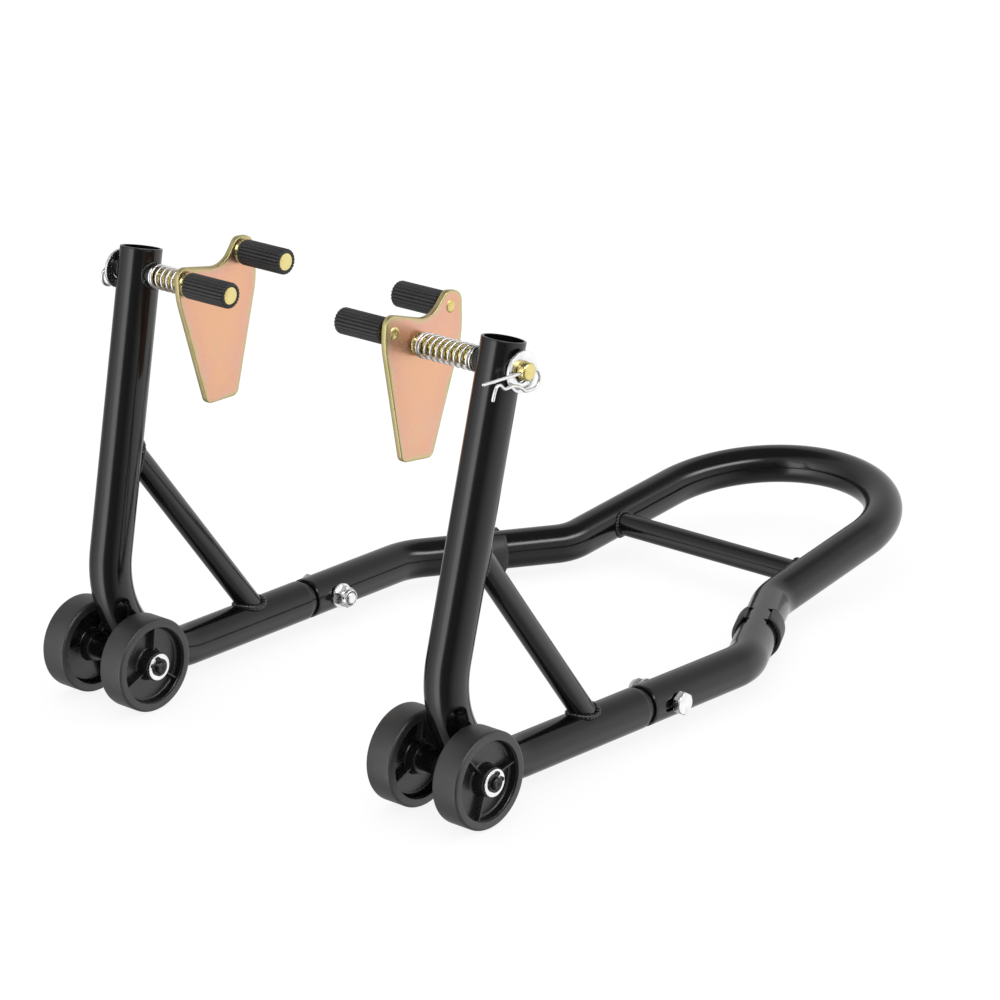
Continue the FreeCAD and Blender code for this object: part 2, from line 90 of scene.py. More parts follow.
# flats pressed into the heel bend, along a line in (y, z)
FLAT_HALF, PINCH_HALF, PINCH_DRAFT = 11.5, 5.5, 0.6
PINCH_REACH, PINCH_BLEND = 14, 0.7
PINCH_TOP = np.array([-5.0 - DATUM_Y, 81.0])
PINCH_LOW = np.array([1.0 - DATUM_Y, 40.0])

# braces and cross tube
BRACE_R, BRACE_UP, BRACE_LOW = 10.0, 0.482, 173.8
CROSS_R, CROSS_AT = 10.0, 53.5

# joint bolts
HEX_ACROSS, HEX_SEGMENTS, HEX_CORNER = 17.0, 96, 0.985
HEAD_T, NUT_L, BOLT_R, THREAD_PITCH = 6.4, 10.5, 5.0, 1.5
HEAD_CHAMFER_R, NUT_CHAMFER_R = HEX_ACROSS / 2 * 0.955, 8.05
CHAMFER_ANGLE = math.radians(28)
SLOT_FRONT, SLOT_HALF, SLOT_FILLET, SLOT_DEPTH = -16.2, 5.2, 5.1, 30

# foot pads
PAD_L, PAD_T, PAD_FOOT = 25.0, 3.6, 20.0
PAD_TOP_ANGLE, PAD_LOW_ANGLE = math.acos(0.53), math.radians(46)

# wheels
WHEEL_W, WHEEL_R, RIM_R = 24.6, 38.5, 31.4
WHEEL_GAP = 21.2                        # from the axle's middle to each wheel's near face
HUB_FAR, HUB_NEAR, HUB_BORE_R = 2.6, 1.0, 7.05
WEB_NEAR, WEB_FAR = 8.0, 16.6
RIB_W, RIB_FROM, RIB_TO = 2.6, 10.5, 30.9
RIB_PHASE = {"outer_r": 12.0, "inner_r": 84.0, "outer_l": 50.0, "inner_l": 84.0}

# fork heads, in the head's own frame: rod along +X (outwards), +Y to the rear, +Z up
PLATE_AT, PLATE_T = 79.5, 5.0
PLATE_OUTER, PLATE_INNER = -PLATE_AT, -PLATE_AT - PLATE_T
PLATE_STEP, PLATE_EDGE_R = 1.1, 0.8
PLATE_OUTLINE = [                       # y, z, corner radius
    (-37.2, 26.1, 8.0), (12.0, 17.1, 30.0), (27.0, 37.4, 7.0), (43.6, 35.9, 9.0),
    (47.3, 2.0, 60.0), (22.1, -90.1, 6.5), (-11.0, -90.1, 6.5), (-37.4, 2.0, 60.0),
]
PIN_R, PIN_L = 7.2, 47.7
PINS = {"front": (-28.3, 11.2), "rear": (32.3, 24.8)}       # y, z
GRIP_R, GRIP_GAP, FLUTES, FLUTE_DEPTH = 10.2, 3.2, 22, 0.85
BUSH_R, BUSH_IN, BUSH_OUT = 9.3, 19.6, 20.4
ROD_R, ROD_END = 7.0, 30.2
SPRING_R, SPRING_WIRE, SPRING_TURNS, SPRING_STOP = 9.0, 2.2, 9.5, 3.0
CLIP_AT, CLIP_WIRE, CLIP_TILT = 26.6, 2.6, math.radians(5.0)
CLIP_START, CLIP_LOOP_R = 7.0, 7.4
CLIP_WAVE = [                           # along the clip, across it
    (-1.0, -14.6), (-5.0, -12.0), (-9.5, -9.5), (-14.5, -8.0), (-20.0, -8.2),
    (-24.5, -7.9), (-29.0, -4.3), (-32.6, -4.6), (-35.0, -9.0), (-36.6, -14.0),
]
END_WASHER_BORE, END_WASHER_DROP = 8.3, 1.25
HANG = {"r": math.radians(-5.5), "l": math.radians(0.9)}


def unit(vector):
    vector = np.asarray(vector, float)
    return vector / np.linalg.norm(vector)


ROD_MID = np.array(JOINTS["head_turn_r"]["pos_m"]) * 1000.0
OUTWARD = unit(JOINTS["head_turn_r"]["axis"])
LEAN = math.atan2(-OUTWARD[2], OUTWARD[0])
AXLE = np.array(JOINTS["wheel_spin_outer_r"]["pos_m"]) * 1000.0
UPRIGHT_DIR, LEG_DIR = unit(UPRIGHT_TOP - HEEL), unit(SWEEP_FRONT - HEEL)
JOINT = HEEL + LEG_DIR * JOINT_AT
ARM_DIR = np.array([0.0, math.cos(ARM_TILT), math.sin(ARM_TILT)])
ARM_START = SWEEP_REAR * NO_X


def box_span(node):
    """Least and greatest x of a CAD node."""
    low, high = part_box(node)
    return low.x * 1000, high.x * 1000


# ---------------------------------------------------------------------------
# mesh building
# ---------------------------------------------------------------------------
def recalc_normals(mesh, merge=None):
    """Turn all faces outwards, first merging vertices closer than `merge` metres."""
    bm = bmesh.new()
    bm.from_mesh(mesh)
    if merge:
        bmesh.ops.remove_doubles(bm, verts=bm.verts, dist=merge)
    bmesh.ops.recalc_face_normals(bm, faces=bm.faces)
    bm.to_mesh(mesh)
    bm.free()


def shade(mesh, sharp=38.0):
    mesh.shade_smooth()
    mesh.set_sharp_from_angle(angle=math.radians(sharp))


def link_object(name, data):
    obj = bpy.data.objects.new(name, data)
    bpy.context.scene.collection.objects.link(obj)
    return obj


class Build:
    """Vertices in millimetres and faces, gathered into one object."""

    def __init__(self):
        self.verts, self.faces, self.slots, self.edge_mm = [], [], [], []
        self.count = 0

    def add(self, verts, faces, slot=0, edge_mm=None):
        verts = np.asarray(verts, float).reshape(-1, 3)
        self.verts.append(verts)
        self.faces += [tuple(int(i) + self.count for i in face) for face in faces]
        self.slots += [slot] * len(faces)
        self.edge_mm.append(np.zeros(len(verts)) if edge_mm is None else edge_mm)
        self.count += len(verts)
        return self

    def make(self, name, materials, body, slot, nodes=(), place=None, mirror=False, sharp=38.0):
        """Make the object: `body` carries it, `nodes` are the CAD nodes it replaces."""
        verts = np.concatenate(self.verts)
        if place is not None:
            verts = place(verts)
        if mirror:
            verts = verts * MIRROR
        mesh = bpy.data.meshes.new(name)
        mesh.from_pydata((verts / 1000.0).tolist(), [], self.faces)
        for material in materials:
            mesh.materials.append(material)
        mesh.polygons.foreach_set("material_index", self.slots)
        edge_mm = np.concatenate(self.edge_mm)
        if edge_mm.any():
            layer = mesh.attributes.new("edge_mm", "FLOAT", "POINT")
            layer.data.foreach_set("value", edge_mm.astype(np.float32))
        mesh.validate()
        recalc_normals(mesh)
        shade(mesh, sharp)
        obj = link_object(name, mesh)
        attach(obj, body)
        if nodes:
            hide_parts(*nodes)
        return obj


def grid_faces(rows, cols, closed=False):
    """Quads between rings of `cols` vertices; closed joins the last ring to the first."""
    faces = []
    for i in range(rows if closed else rows - 1):
        here, there = i * cols, ((i + 1) % rows) * cols
        for j in range(cols):
            k = (j + 1) % cols
            faces.append((here + j, here + k, there + k, there + j))
    return faces


def capped_faces(rows, cols):
    caps = [tuple(range(cols)), tuple(range((rows - 1) * cols, rows * cols))]
    return grid_faces(rows, cols) + caps


def full_turn(count):
    return np.linspace(0, 2 * math.pi, count, endpoint=False)


def path_frames(path, closed=False):
    """Tangents and two cross directions along a path, turning as little as possible."""
    if closed:
        tangent = np.roll(path, -1, 0) - np.roll(path, 1, 0)
    else:
        tangent = np.gradient(path, axis=0)
    tangent /= np.linalg.norm(tangent, axis=1)[:, None]
    ref = np.array([0.0, 0.0, 1.0]) if abs(tangent[0, 2]) < 0.9 else X_AXIS
    across = np.zeros_like(path)
    across[0] = unit(np.cross(np.cross(tangent[0], ref), tangent[0]))
    for i in range(1, len(path)):
        turned_on = across[i - 1] - (across[i - 1] @ tangent[i]) * tangent[i]
        across[i] = turned_on / np.linalg.norm(turned_on)
    return tangent, across, np.cross(tangent, across)


def corner_angle(before, after):
    return math.acos(np.clip(before @ after, -1, 1))


def rounded_path(points, radii, step=5.0, arc_step=2.5):
    """Points through a polyline whose corners are rounded to the given radii."""
    out = []
    here = points[0]

    def straight(start, end):
        count = max(1, int(np.linalg.norm(end - start) / step))
        return [start + (end - start) * k / count for k in range(count)]

    for before, corner, after, radius in zip(points, points[1:], points[2:], radii):
        back, ahead = unit(before - corner), unit(after - corner)
        angle = corner_angle(back, ahead)
        reach = radius / math.tan(angle / 2)
        start, end = corner + back * reach, corner + ahead * reach
        centre = corner + unit(back + ahead) * (radius / math.sin(angle / 2))
        out += straight(here, start)
        first = unit(start - centre)
        second = unit((end - centre) - ((end - centre) @ first) * first)
        sweep = math.pi - angle
        count = max(3, int(radius * sweep / arc_step))
        out += [centre + radius * (math.cos(a) * first + math.sin(a) * second)
                for a in np.linspace(0, sweep, count, endpoint=False)]
        here = end
    out += straight(here, points[-1]) + [points[-1]]
    return np.array(out)


def arc_points(start, end, centre, normal, count):
    first = unit(start - centre)
    second = unit(np.cross(normal, first))
    radius = np.linalg.norm(start - centre)
    sweep = math.atan2((end - centre) @ second, (end - centre) @ first) % (2 * math.pi)
    return np.array([centre + radius * (math.cos(a) * first + math.sin(a) * second)
                     for a in np.linspace(0, sweep, count)])


def swept_rings(path, directions, stations, segments):
    """Rings at stations of (path index, radius, shift along the path)."""
    index, radius, shift = (np.array(column) for column in zip(*stations))
    tangent, across, up = (direction[index] for direction in directions)
    centre = path[index] + tangent * shift[:, None]
    angle = full_turn(segments)
    cos, sin = np.cos(angle)[None, :, None], np.sin(angle)[None, :, None]
    spokes = cos * across[:, None, :] + sin * up[:, None, :]
    return (centre[:, None, :] + radius[:, None, None] * spokes).reshape(-1, 3)


def pipe(path, outer, inner, segments=96, rim=0.45):
    """A hollow tube with slightly rounded ends, as one closed skin."""
    last = len(path) - 1
    mouth = [(inner + rim * 0.6, 0.0), (outer - rim, 0.0), (outer - rim * 0.3, rim * 0.3),
             (outer, rim)]
    stations = [(0, radius, shift) for radius, shift in mouth]
    stations += [(i, outer, 0.0) for i in range(1, last)]
    stations += [(last, radius, -shift) for radius, shift in reversed(mouth)]
    stations += [(last, inner, -rim * 0.6)]
    stations += [(i, inner, 0.0) for i in range(last - 1, 0, -1)]
    stations += [(0, inner, rim * 0.6)]
    verts = swept_rings(path, path_frames(path), stations, segments)
    return verts, grid_faces(len(stations), segments, closed=True)


def bar(path, radius, segments=20, closed=False, ends="round", chamfer=0.3):
    """A round bar along a path, its ends round or flat; radius may vary."""
    path = np.asarray(path, float)
    radius = np.full(len(path), radius, float)
    stations = [(i, size, 0.0) for i, size in enumerate(radius)]
    directions = path_frames(path, closed)
    if closed:
        verts = swept_rings(path, directions, stations, segments)
        return verts, grid_faces(len(stations), segments, closed=True)

    def cap(i, way):
        if ends == "flat":
            return [(i, radius[i] - chamfer, way * chamfer * 0.7)]
        angles = [math.radians(degrees) for degrees in (30, 60, 84)]
        return [(i, radius[i] * math.cos(a), way * radius[i] * math.sin(a)) for a in angles]

    stations = cap(0, -1)[::-1] + stations + cap(len(path) - 1, 1)
    verts = swept_rings(path, directions, stations, segments)
    return verts, capped_faces(len(stations), segments)


def filleted(points, segments=5):
    """Closed 2-D outline from (a, b, corner radius) points."""
    out = []
    for k, (*corner, radius) in enumerate(points):
        before = np.array(points[k - 1][:2], float)
        corner = np.array(corner, float)
        after = np.array(points[(k + 1) % len(points)][:2], float)
        back, ahead = unit(before - corner), unit(after - corner)
        angle = corner_angle(back, ahead)
        if radius <= 1e-6 or abs(math.pi - angle) < 1e-3:
            out.append(corner)
            continue
        reach = min(radius / math.tan(angle / 2), 0.49 * np.linalg.norm(before - corner),
                    0.49 * np.linalg.norm(after - corner))
        radius = reach * math.tan(angle / 2)
        centre = corner + unit(back + ahead) * (radius / math.sin(angle / 2))
        start = math.atan2(*(corner + back * reach - centre)[::-1])
        end = math.atan2(*(corner + ahead * reach - centre)[::-1])
        sweep = (end - start + math.pi) % (2 * math.pi) - math.pi
        count = max(2, int(abs(sweep) / math.radians(90 / segments)) + 1)
        for a in np.linspace(0, sweep, count + 1):
            out.append(centre + radius * np.array([math.cos(start + a), math.sin(start + a)]))
    return np.array(out)


def revolved(profile, segments, wave=None):
    """Rings of an (x, radius) profile about the X axis; wave(x, r, angle) gives new radii."""
    profile = np.asarray(profile, float)
    angle = full_turn(segments)
    x = np.repeat(profile[:, 0][:, None], segments, 1)
    radius = np.repeat(profile[:, 1][:, None], segments, 1)
    if wave is not None:
        radius = wave(x, radius, angle[None, :])
    return np.stack([x, radius * np.cos(angle), radius * np.sin(angle)], 2).reshape(-1, 3)


def lathe(profile, segments, wave=None):
    """Turn a closed profile into a ring."""
    return revolved(profile, segments, wave), grid_faces(len(profile), segments, closed=True)


def turned(profile, segments):
    """Turn an open profile whose two ends are capped flat."""
    return revolved(profile, segments), capped_faces(len(profile), segments)


def washer(x0, x1, bore, radius, edge=0.25):
    corners = [(x0, bore, edge), (x0, radius, edge), (x1, radius, edge), (x1, bore, edge)]
    return lathe(filleted(corners, 3), 72)


def uneven(verts, where, lobes):
    """Make rings lumpy, as a weld is; lobes are (amount, count, phase)."""
    angle = np.arctan2(verts[where, 2], verts[where, 1])
    factor = 1
    for amount, count, phase in lobes:
        factor = factor + amount * np.sin(angle * count + phase)
    verts[where, 1:] *= factor[:, None]


def counter_clockwise(outline):
    x, y = outline[:, 0], outline[:, 1]
    area = 0.5 * float(np.sum(x * np.roll(y, -1) - np.roll(x, -1) * y))
    return outline[::-1] if area < 0 else outline


def inset(outline, distance):
    """Move a counter-clockwise outline inwards."""
    edge = np.roll(outline, -1, 0) - outline
    length = np.linalg.norm(edge, axis=1)[:, None]
    normal = np.stack([-edge[:, 1], edge[:, 0]], 1) / (length + 1e-12)
    mitre = normal + np.roll(normal, 1, 0)
    mitre /= np.linalg.norm(mitre, axis=1)[:, None] + 1e-12
    spread = np.clip((mitre * normal).sum(1), 0.35, 1)
    return outline + mitre * (distance / spread)[:, None]


def smooth_curve(points, steps=10):
    """Catmull-Rom through points."""
    pts = np.array(points, float)
    pts = np.vstack([2 * pts[0] - pts[1], pts, 2 * pts[-1] - pts[-2]])
    out = []
    for i in range(1, len(pts) - 2):
        before, start, end, after = pts[i - 1:i + 3]
        for t in np.linspace(0, 1, steps, endpoint=False):
            square = (2 * before - 5 * start + 4 * end - after) * t * t
            cube = (3 * start - before - 3 * end + after) * t ** 3
            out.append(0.5 * ((2 * start) + (end - before) * t + square + cube))
    out.append(pts[-2])
    return np.array(out)


# ---------------------------------------------------------------------------
# materials
# ---------------------------------------------------------------------------
MIDDLE = (0.3, 0.7)                     # the part of a noise where most values fall


def rgba(colour):
    return (colour,) * 3 + (1.0,) if np.isscalar(colour) else (*colour, 1.0)


def fill_ramp(node, stops):
    """Give a colour ramp its (position, colour) stops."""
    elements = node.color_ramp.elements
    while len(elements) > 1:
        elements.remove(elements[-1])
    elements[0].position, elements[0].color = stops[0][0], rgba(stops[0][1])
    for position, colour in stops[1:]:
        elements.new(position).color = rgba(colour)


class Mat:
    """A Principled material whose textures follow object coordinates."""

    def __init__(self, name):
        self.material = bpy.data.materials.new(name)
        self.material.use_nodes = True
        self.tree = self.material.node_tree
        self.shader = self.tree.nodes["Principled BSDF"]
        self.coords = self.node("ShaderNodeTexCoord").outputs["Object"]

    def node(self, kind):
        return self.tree.nodes.new(kind)

    def link(self, source, target):
        self.tree.links.new(source, target)

    def noise(self, scale, detail=3.0, stretch=None, distort=0.0):
        node = self.node("ShaderNodeTexNoise")
        node.inputs["Scale"].default_value = scale
        node.inputs["Detail"].default_value = detail
        node.inputs["Roughness"].default_value = 0.55
        node.inputs["Distortion"].default_value = distort
        source = self.coords
        if stretch is not None:
            mapping = self.node("ShaderNodeMapping")
            mapping.inputs["Scale"].default_value = stretch
            self.link(source, mapping.inputs["Vector"])
            source = mapping.outputs["Vector"]
        self.link(source, node.inputs["Vector"])
        return node.outputs["Fac"]

    def ramp(self, fac, stops):
        node = self.node("ShaderNodeValToRGB")
        fill_ramp(node, stops)
        self.link(fac, node.inputs["Fac"])
        return node.outputs["Color"]

    def remap(self, value, to, span=(0.0, 1.0)):
        """Bring `span` of a value onto `to`, clamped."""
        node = self.node("ShaderNodeMapRange")
        for key, number in zip(("From Min", "From Max", "To Min", "To Max"), (*span, *to)):
            node.inputs[key].default_value = number
        self.link(value, node.inputs["Value"])
        return node.outputs["Result"]

    def mix(self, fac, base, tint):
        node = self.node("ShaderNodeMix")
        node.data_type = "RGBA"
        self.link(fac, node.inputs[0])
        self.link(base, node.inputs[6])
        node.inputs[7].default_value = rgba(tint)
        return node.outputs[2]

    def bump(self, height, strength, distance, under=None):
        node = self.node("ShaderNodeBump")
        node.inputs["Strength"].default_value = strength
        node.inputs["Distance"].default_value = distance
        self.link(height, node.inputs["Height"])
        if under is not None:
            self.link(under, node.inputs["Normal"])
        return node.outputs["Normal"]

    def set(self, **inputs):
        """Set or link shader inputs, spaces written as underscores."""
        for key, value in inputs.items():
            socket = self.shader.inputs[key.replace("_", " ")]
            if hasattr(value, "is_output"):
                self.link(value, socket)
            elif socket.type == "RGBA":
                socket.default_value = rgba(value)
            else:
                socket.default_value = value
        return self.material


def paint():
    m = Mat("black_gloss_paint")
    cloud = m.noise(scale=9.0)
    fine = m.noise(scale=260.0, detail=2.0)
    speck = m.noise(scale=900.0, detail=2.0)
    colour = m.ramp(cloud, [(0.3, (0.0034, 0.0034, 0.0036)), (0.7, (0.0058, 0.0057, 0.0056))])
    dust = m.remap(speck, to=(0.0, 1.0), span=(0.66, 0.78))
    colour = m.mix(dust, colour, tint=0.02)
    rough = m.remap(fine, to=(0.11, 0.17), span=MIDDLE)
    peel = m.bump(m.noise(scale=330.0, detail=1.5), strength=0.04, distance=0.0003)
    peel = m.bump(m.noise(scale=60.0, detail=1.0), strength=0.03, distance=0.0010, under=peel)
    return m.set(Base_Color=colour, Roughness=rough, IOR=1.45, Normal=peel)


def weld_paint():
    m = Mat("weld_under_paint")
    fine = m.noise(scale=700.0)
    colour = m.ramp(fine, [(0.35, 0.004), (0.75, (0.015, 0.0148, 0.0145))])
    grain = m.bump(m.noise(scale=900.0, detail=2.0), strength=0.25, distance=0.0004)
    rough = m.remap(fine, to=(0.14, 0.28), span=MIDDLE)
    return m.set(Base_Color=colour, Roughness=rough, IOR=1.45, Normal=grain)


def tube_bore():
    m = Mat("tube_bore")
    grain = m.noise(scale=180.0, detail=4.0)
    colour = m.ramp(grain, [(0.3, 0.003), (0.8, (0.009, 0.0088, 0.0085))])
    return m.set(Base_Color=colour, Roughness=m.remap(grain, to=(0.5, 0.75)),
                 Specular_IOR_Level=0.25, Normal=m.bump(grain, strength=0.2, distance=0.0005))


def bright_metal(name, cloud, grain, stops, roughness, bump):
    """Plated metal: cloud colours it, grain roughens it; both are noise settings."""
    m = Mat(name)
    cloud = m.noise(**cloud)
    grain = m.noise(**grain)
    return m.set(Base_Color=m.ramp(cloud, stops), Metallic=1.0,
                 Roughness=m.remap(grain, to=roughness, span=MIDDLE),
                 Normal=m.bump(grain, strength=bump, distance=0.0003))


def yellow_zinc_plate():
    """Yellow passivate: peach in the middle, pink, then yellow-green towards the edge."""
    m = Mat("yellow_zinc_plate")
    edge = m.node("ShaderNodeAttribute")
    edge.attribute_name = "edge_mm"
    wobble = m.noise(scale=55.0, distort=0.6)
    shift = m.remap(wobble, to=(-2.6, 2.6), span=(0.2, 0.8))
    from_edge = m.node("ShaderNodeMath")
    from_edge.operation = "ADD"
    m.link(edge.outputs["Fac"], from_edge.inputs[0])
    m.link(shift, from_edge.inputs[1])
    inwards = m.remap(from_edge.outputs[0], to=(0.0, 1.0), span=(0.0, 20.0))
    film = m.ramp(inwards, [
        (0.0, (0.448, 0.397, 0.176)), (0.07, (0.496, 0.437, 0.211)),
        (0.14, (0.576, 0.421, 0.255)), (0.22, (0.640, 0.373, 0.264)),
        (0.40, (0.664, 0.365, 0.246)), (0.75, (0.680, 0.381, 0.238)),
        (1.0, (0.688, 0.389, 0.238))])
    pink = m.noise(scale=16.0, detail=2.0, distort=1.2)
    film = m.mix(m.remap(pink, to=(0.0, 0.30), span=(0.46, 0.7)), film,
                 tint=(0.656, 0.365, 0.334))
    green = m.noise(scale=23.0, detail=2.0, distort=1.0)
    film = m.mix(m.remap(green, to=(0.0, 0.24), span=(0.56, 0.75)), film,
                 tint=(0.496, 0.486, 0.317))
    fine = m.noise(scale=800.0)
    streak = m.noise(scale=300.0, stretch=(1.0, 6.0, 0.6))
    film = m.mix(m.remap(streak, to=(0.0, 0.12), span=(0.4, 0.8)), film,
                 tint=(0.576, 0.405, 0.299))
    grain = m.bump(fine, strength=0.06, distance=0.0003)
    grain = m.bump(streak, strength=0.03, distance=0.0004, under=grain)
    rough = m.remap(fine, to=(0.27, 0.42), span=MIDDLE)
    return m.set(Base_Color=film, Metallic=0.92, Roughness=rough, Normal=grain)


def moulded(name, dark, light, roughness, grain=420.0, detail=3.0, cloud=35.0, bump=0.08,
            specular=0.5):
    """Plain plastic or rubber; grain and cloud are noise scales."""
    m = Mat(name)
    grain = m.noise(scale=grain, detail=detail)
    cloud = m.noise(scale=cloud, detail=2.0)
    return m.set(Base_Color=m.ramp(cloud, [(0.3, dark), (0.7, light)]),
                 Roughness=m.remap(grain, to=roughness), Specular_IOR_Level=specular,
                 Normal=m.bump(grain, strength=bump, distance=0.0004))


def tread_rubber():
    m = Mat("tread_rubber")
    grain = m.noise(scale=650.0, detail=4.0)
    cloud = m.noise(scale=30.0)
    colour = m.ramp(cloud, [(0.3, (0.018, 0.018, 0.019)), (0.7, (0.031, 0.031, 0.032))])
    speck = m.remap(m.noise(scale=420.0, detail=1.0), to=(0.0, 0.5), span=(0.72, 0.8))
    colour = m.mix(speck, colour, tint=0.10)
    return m.set(Base_Color=colour, Roughness=m.remap(grain, to=(0.34, 0.5)),
                 Specular_IOR_Level=0.55, Normal=m.bump(grain, strength=0.22, distance=0.0004))


def dark_steel():
    m = Mat("black_oxide_steel")
    grain = m.noise(scale=600.0)
    colour = m.ramp(grain, [(0.3, (0.018, 0.018, 0.019)), (0.75, (0.05, 0.05, 0.052))])
    return m.set(Base_Color=colour, Metallic=0.85, Roughness=m.remap(grain, to=(0.26, 0.42)),
                 Normal=m.bump(grain, strength=0.1, distance=0.0003))


PAINT = paint()
WELD = weld_paint()
tube_bore()                             # part of the material set; no piece carries it
ZINC = bright_metal(
    "bright_zinc", cloud=dict(scale=120.0, detail=4.0), grain=dict(scale=900.0),
    stops=[(0.3, (0.64, 0.64, 0.645)), (0.7, (0.78, 0.78, 0.785))],
    roughness=(0.17, 0.36), bump=0.12)
PLATE = yellow_zinc_plate()
GOLD = bright_metal(
    "yellow_zinc_bright", cloud=dict(scale=90.0, distort=0.8),
    grain=dict(scale=1000.0, detail=2.0),
    stops=[(0.25, (0.60, 0.48, 0.17)), (0.5, (0.66, 0.56, 0.24)), (0.75, (0.62, 0.56, 0.27))],
    roughness=(0.18, 0.34), bump=0.1)
GRIP = moulded("grip_rubber", dark=(0.016, 0.016, 0.018), light=(0.026, 0.026, 0.028),
               roughness=(0.42, 0.6), grain=500.0, detail=4.0, cloud=40.0, bump=0.18,
               specular=0.42)
TREAD = tread_rubber()
HUB = moulded("wheel_core_plastic", dark=0.006, light=0.010, roughness=(0.22, 0.34))
BUSH = moulded("bush_plastic", dark=0.012, light=0.018, roughness=(0.4, 0.5))
PAD = moulded("foot_rubber", dark=0.014, light=0.022, roughness=(0.42, 0.56), grain=700.0)
NYLON = moulded("nut_insert", dark=0.02, light=0.035, roughness=(0.35, 0.5))
STEEL = dark_steel()


# ---------------------------------------------------------------------------
# frame tubes
# ---------------------------------------------------------------------------
def nearest_on(path, verts, chunk=4000):
    """The path point nearest to each vertex."""
    out = np.empty_like(verts)
    for i in range(0, len(verts), chunk):
        part = verts[i:i + chunk]
        squared = ((part[:, None, :] - path[None]) ** 2).sum(2)
        out[i:i + chunk] = path[np.argmin(squared, 1)]
    return out


def pinched(verts, path):
    """Pinch the heel bend between two narrow dies, with a rounded shoulder."""
    line = PINCH_LOW - PINCH_TOP
    from_top = verts[:, 1:] - PINCH_TOP
    along = np.clip((from_top @ line) / (line @ line), 0, 1)
    from_line = np.linalg.norm(from_top - along[:, None] * line, axis=1)
    depth = TUBE_R - np.linalg.norm(verts - nearest_on(path, verts), axis=1)
    limit = FLAT_HALF - depth + np.clip(from_line - PINCH_HALF, 0, None) / PINCH_DRAFT
    offset = verts[:, 0] - AXLE[0]
    width = np.abs(offset)
    share = np.clip(0.5 + 0.5 * (limit - width) / PINCH_BLEND, 0, 1)
    pressed = limit * (1 - share) + width * share - PINCH_BLEND * share * (1 - share)
    pressed = np.where(from_line < PINCH_HALF + PINCH_REACH, pressed, width)
    out = verts.copy()
    out[:, 0] = AXLE[0] + np.sign(offset) * pressed
    return out


def build_side_tubes():
    path = rounded_path([UPRIGHT_TOP, HEEL, JOINT], [HEEL_BEND_R], step=2.5, arc_step=1.0)
    verts, faces = pipe(path, TUBE_R, BORE_R, segments=128)
    verts = pinched(verts, path)
    for side, mirror in SIDES:
        Build().add(verts, faces).make("frame_side_tube_" + side, [PAINT], "root",
                                       "black_paint", ["side_tube_" + side], mirror=mirror)


# the handle loop is an arc tangent to both arms, which toe in towards each other
LOOP_CENTRE = (LOOP_END - SWEEP_REAR[0] * math.cos(ARM_TOE)) / (1 - math.sin(ARM_TOE))
LOOP_R = LOOP_END - LOOP_CENTRE
LOOP_MID = ARM_START + ARM_DIR * LOOP_CENTRE
ARM_END = (LOOP_MID + X_AXIS * (LOOP_R * math.cos(ARM_TOE))
           + ARM_DIR * (LOOP_R * math.sin(ARM_TOE)))


def build_handle_bar():
    """Both S bends and the loop in one piece, with a slot in each end."""
    start = JOINT + LEG_DIR * JOINT_GAP
    right = rounded_path([start, SWEEP_FRONT, SWEEP_REAR, ARM_END],
                         [FRONT_BEND_R, REAR_BEND_R], step=3.0, arc_step=2.0)
    loop = arc_points(ARM_END, ARM_END * MIRROR, LOOP_MID, np.cross(X_AXIS, ARM_DIR), 190)
    path = np.concatenate([right[:-1], loop, (right * MIRROR)[::-1][1:]])
    handle = Build().add(*pipe(path, TUBE_R, BORE_R)).make(
        "frame_handle_bar", [PAINT], "root", "black_paint", ["handle_bar"])
    front, half, radius = SLOT_FRONT, SLOT_HALF, SLOT_FILLET
    corners = [(front, -half, radius), (half, -half, radius), (half, half, radius),
               (front, half, radius)]
    outline = filleted(corners, 8) + BOLT_CENTRE[1:]
    slot_x = (WASHER_X1 + HEAD_X0) / 2
    for sign in (1.0, -1.0):
        rows = [np.column_stack([np.full(len(outline), x * sign), outline])
                for x in (slot_x, slot_x + SLOT_DEPTH)]
        cut(handle, np.concatenate(rows), capped_faces(2, len(outline)))


def cut(obj, verts, faces):
    """Subtract a solid from the object and keep the resulting mesh."""
    mesh = bpy.data.meshes.new("cutter")
    mesh.from_pydata((verts / 1000.0).tolist(), [], faces)
    recalc_normals(mesh)
    cutter = link_object("cutter", mesh)
    modifier = obj.modifiers.new("cut", "BOOLEAN")
    modifier.operation, modifier.object, modifier.solver = "DIFFERENCE", cutter, "EXACT"
    bpy.context.view_layer.update()
    depsgraph = bpy.context.evaluated_depsgraph_get()
    result = bpy.data.meshes.new_from_object(obj.evaluated_get(depsgraph))
    obj.modifiers.remove(modifier)
    obj.data = result
    bpy.data.objects.remove(cutter)
    shade(result)


# ---------------------------------------------------------------------------
# joint bolts: head outside, nut inside
# ---------------------------------------------------------------------------
washer_low, washer_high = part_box("joint_washer_r")
BOLT_CENTRE = np.array([0.0, (washer_low.y + washer_high.y) / 2 * 1000,
                        (washer_low.z + washer_high.z) / 2 * 1000])
WASHER_X0, WASHER_X1 = box_span("joint_washer_r")
BOLT_TIP, HEAD_X1 = box_span("joint_bolt_r")
HEAD_X0 = HEAD_X1 - HEAD_T


def hex_radii():
    """Radius of the hexagon at each segment, its corners slightly cut."""
    from_flat = (full_turn(HEX_SEGMENTS) + math.pi / 6) % (math.pi / 3) - math.pi / 6
    limit = HEX_ACROSS / 2 / math.cos(math.pi / 6) * HEX_CORNER
    return np.minimum(HEX_ACROSS / 2 / np.cos(from_flat), limit)


def hex_chamfer(radii, limit):
    """Radii held to the chamfer circle, and how far each point drops beyond it."""
    drop = np.clip(radii - limit, 0, None) * math.tan(CHAMFER_ANGLE)
    return np.minimum(radii, limit), drop


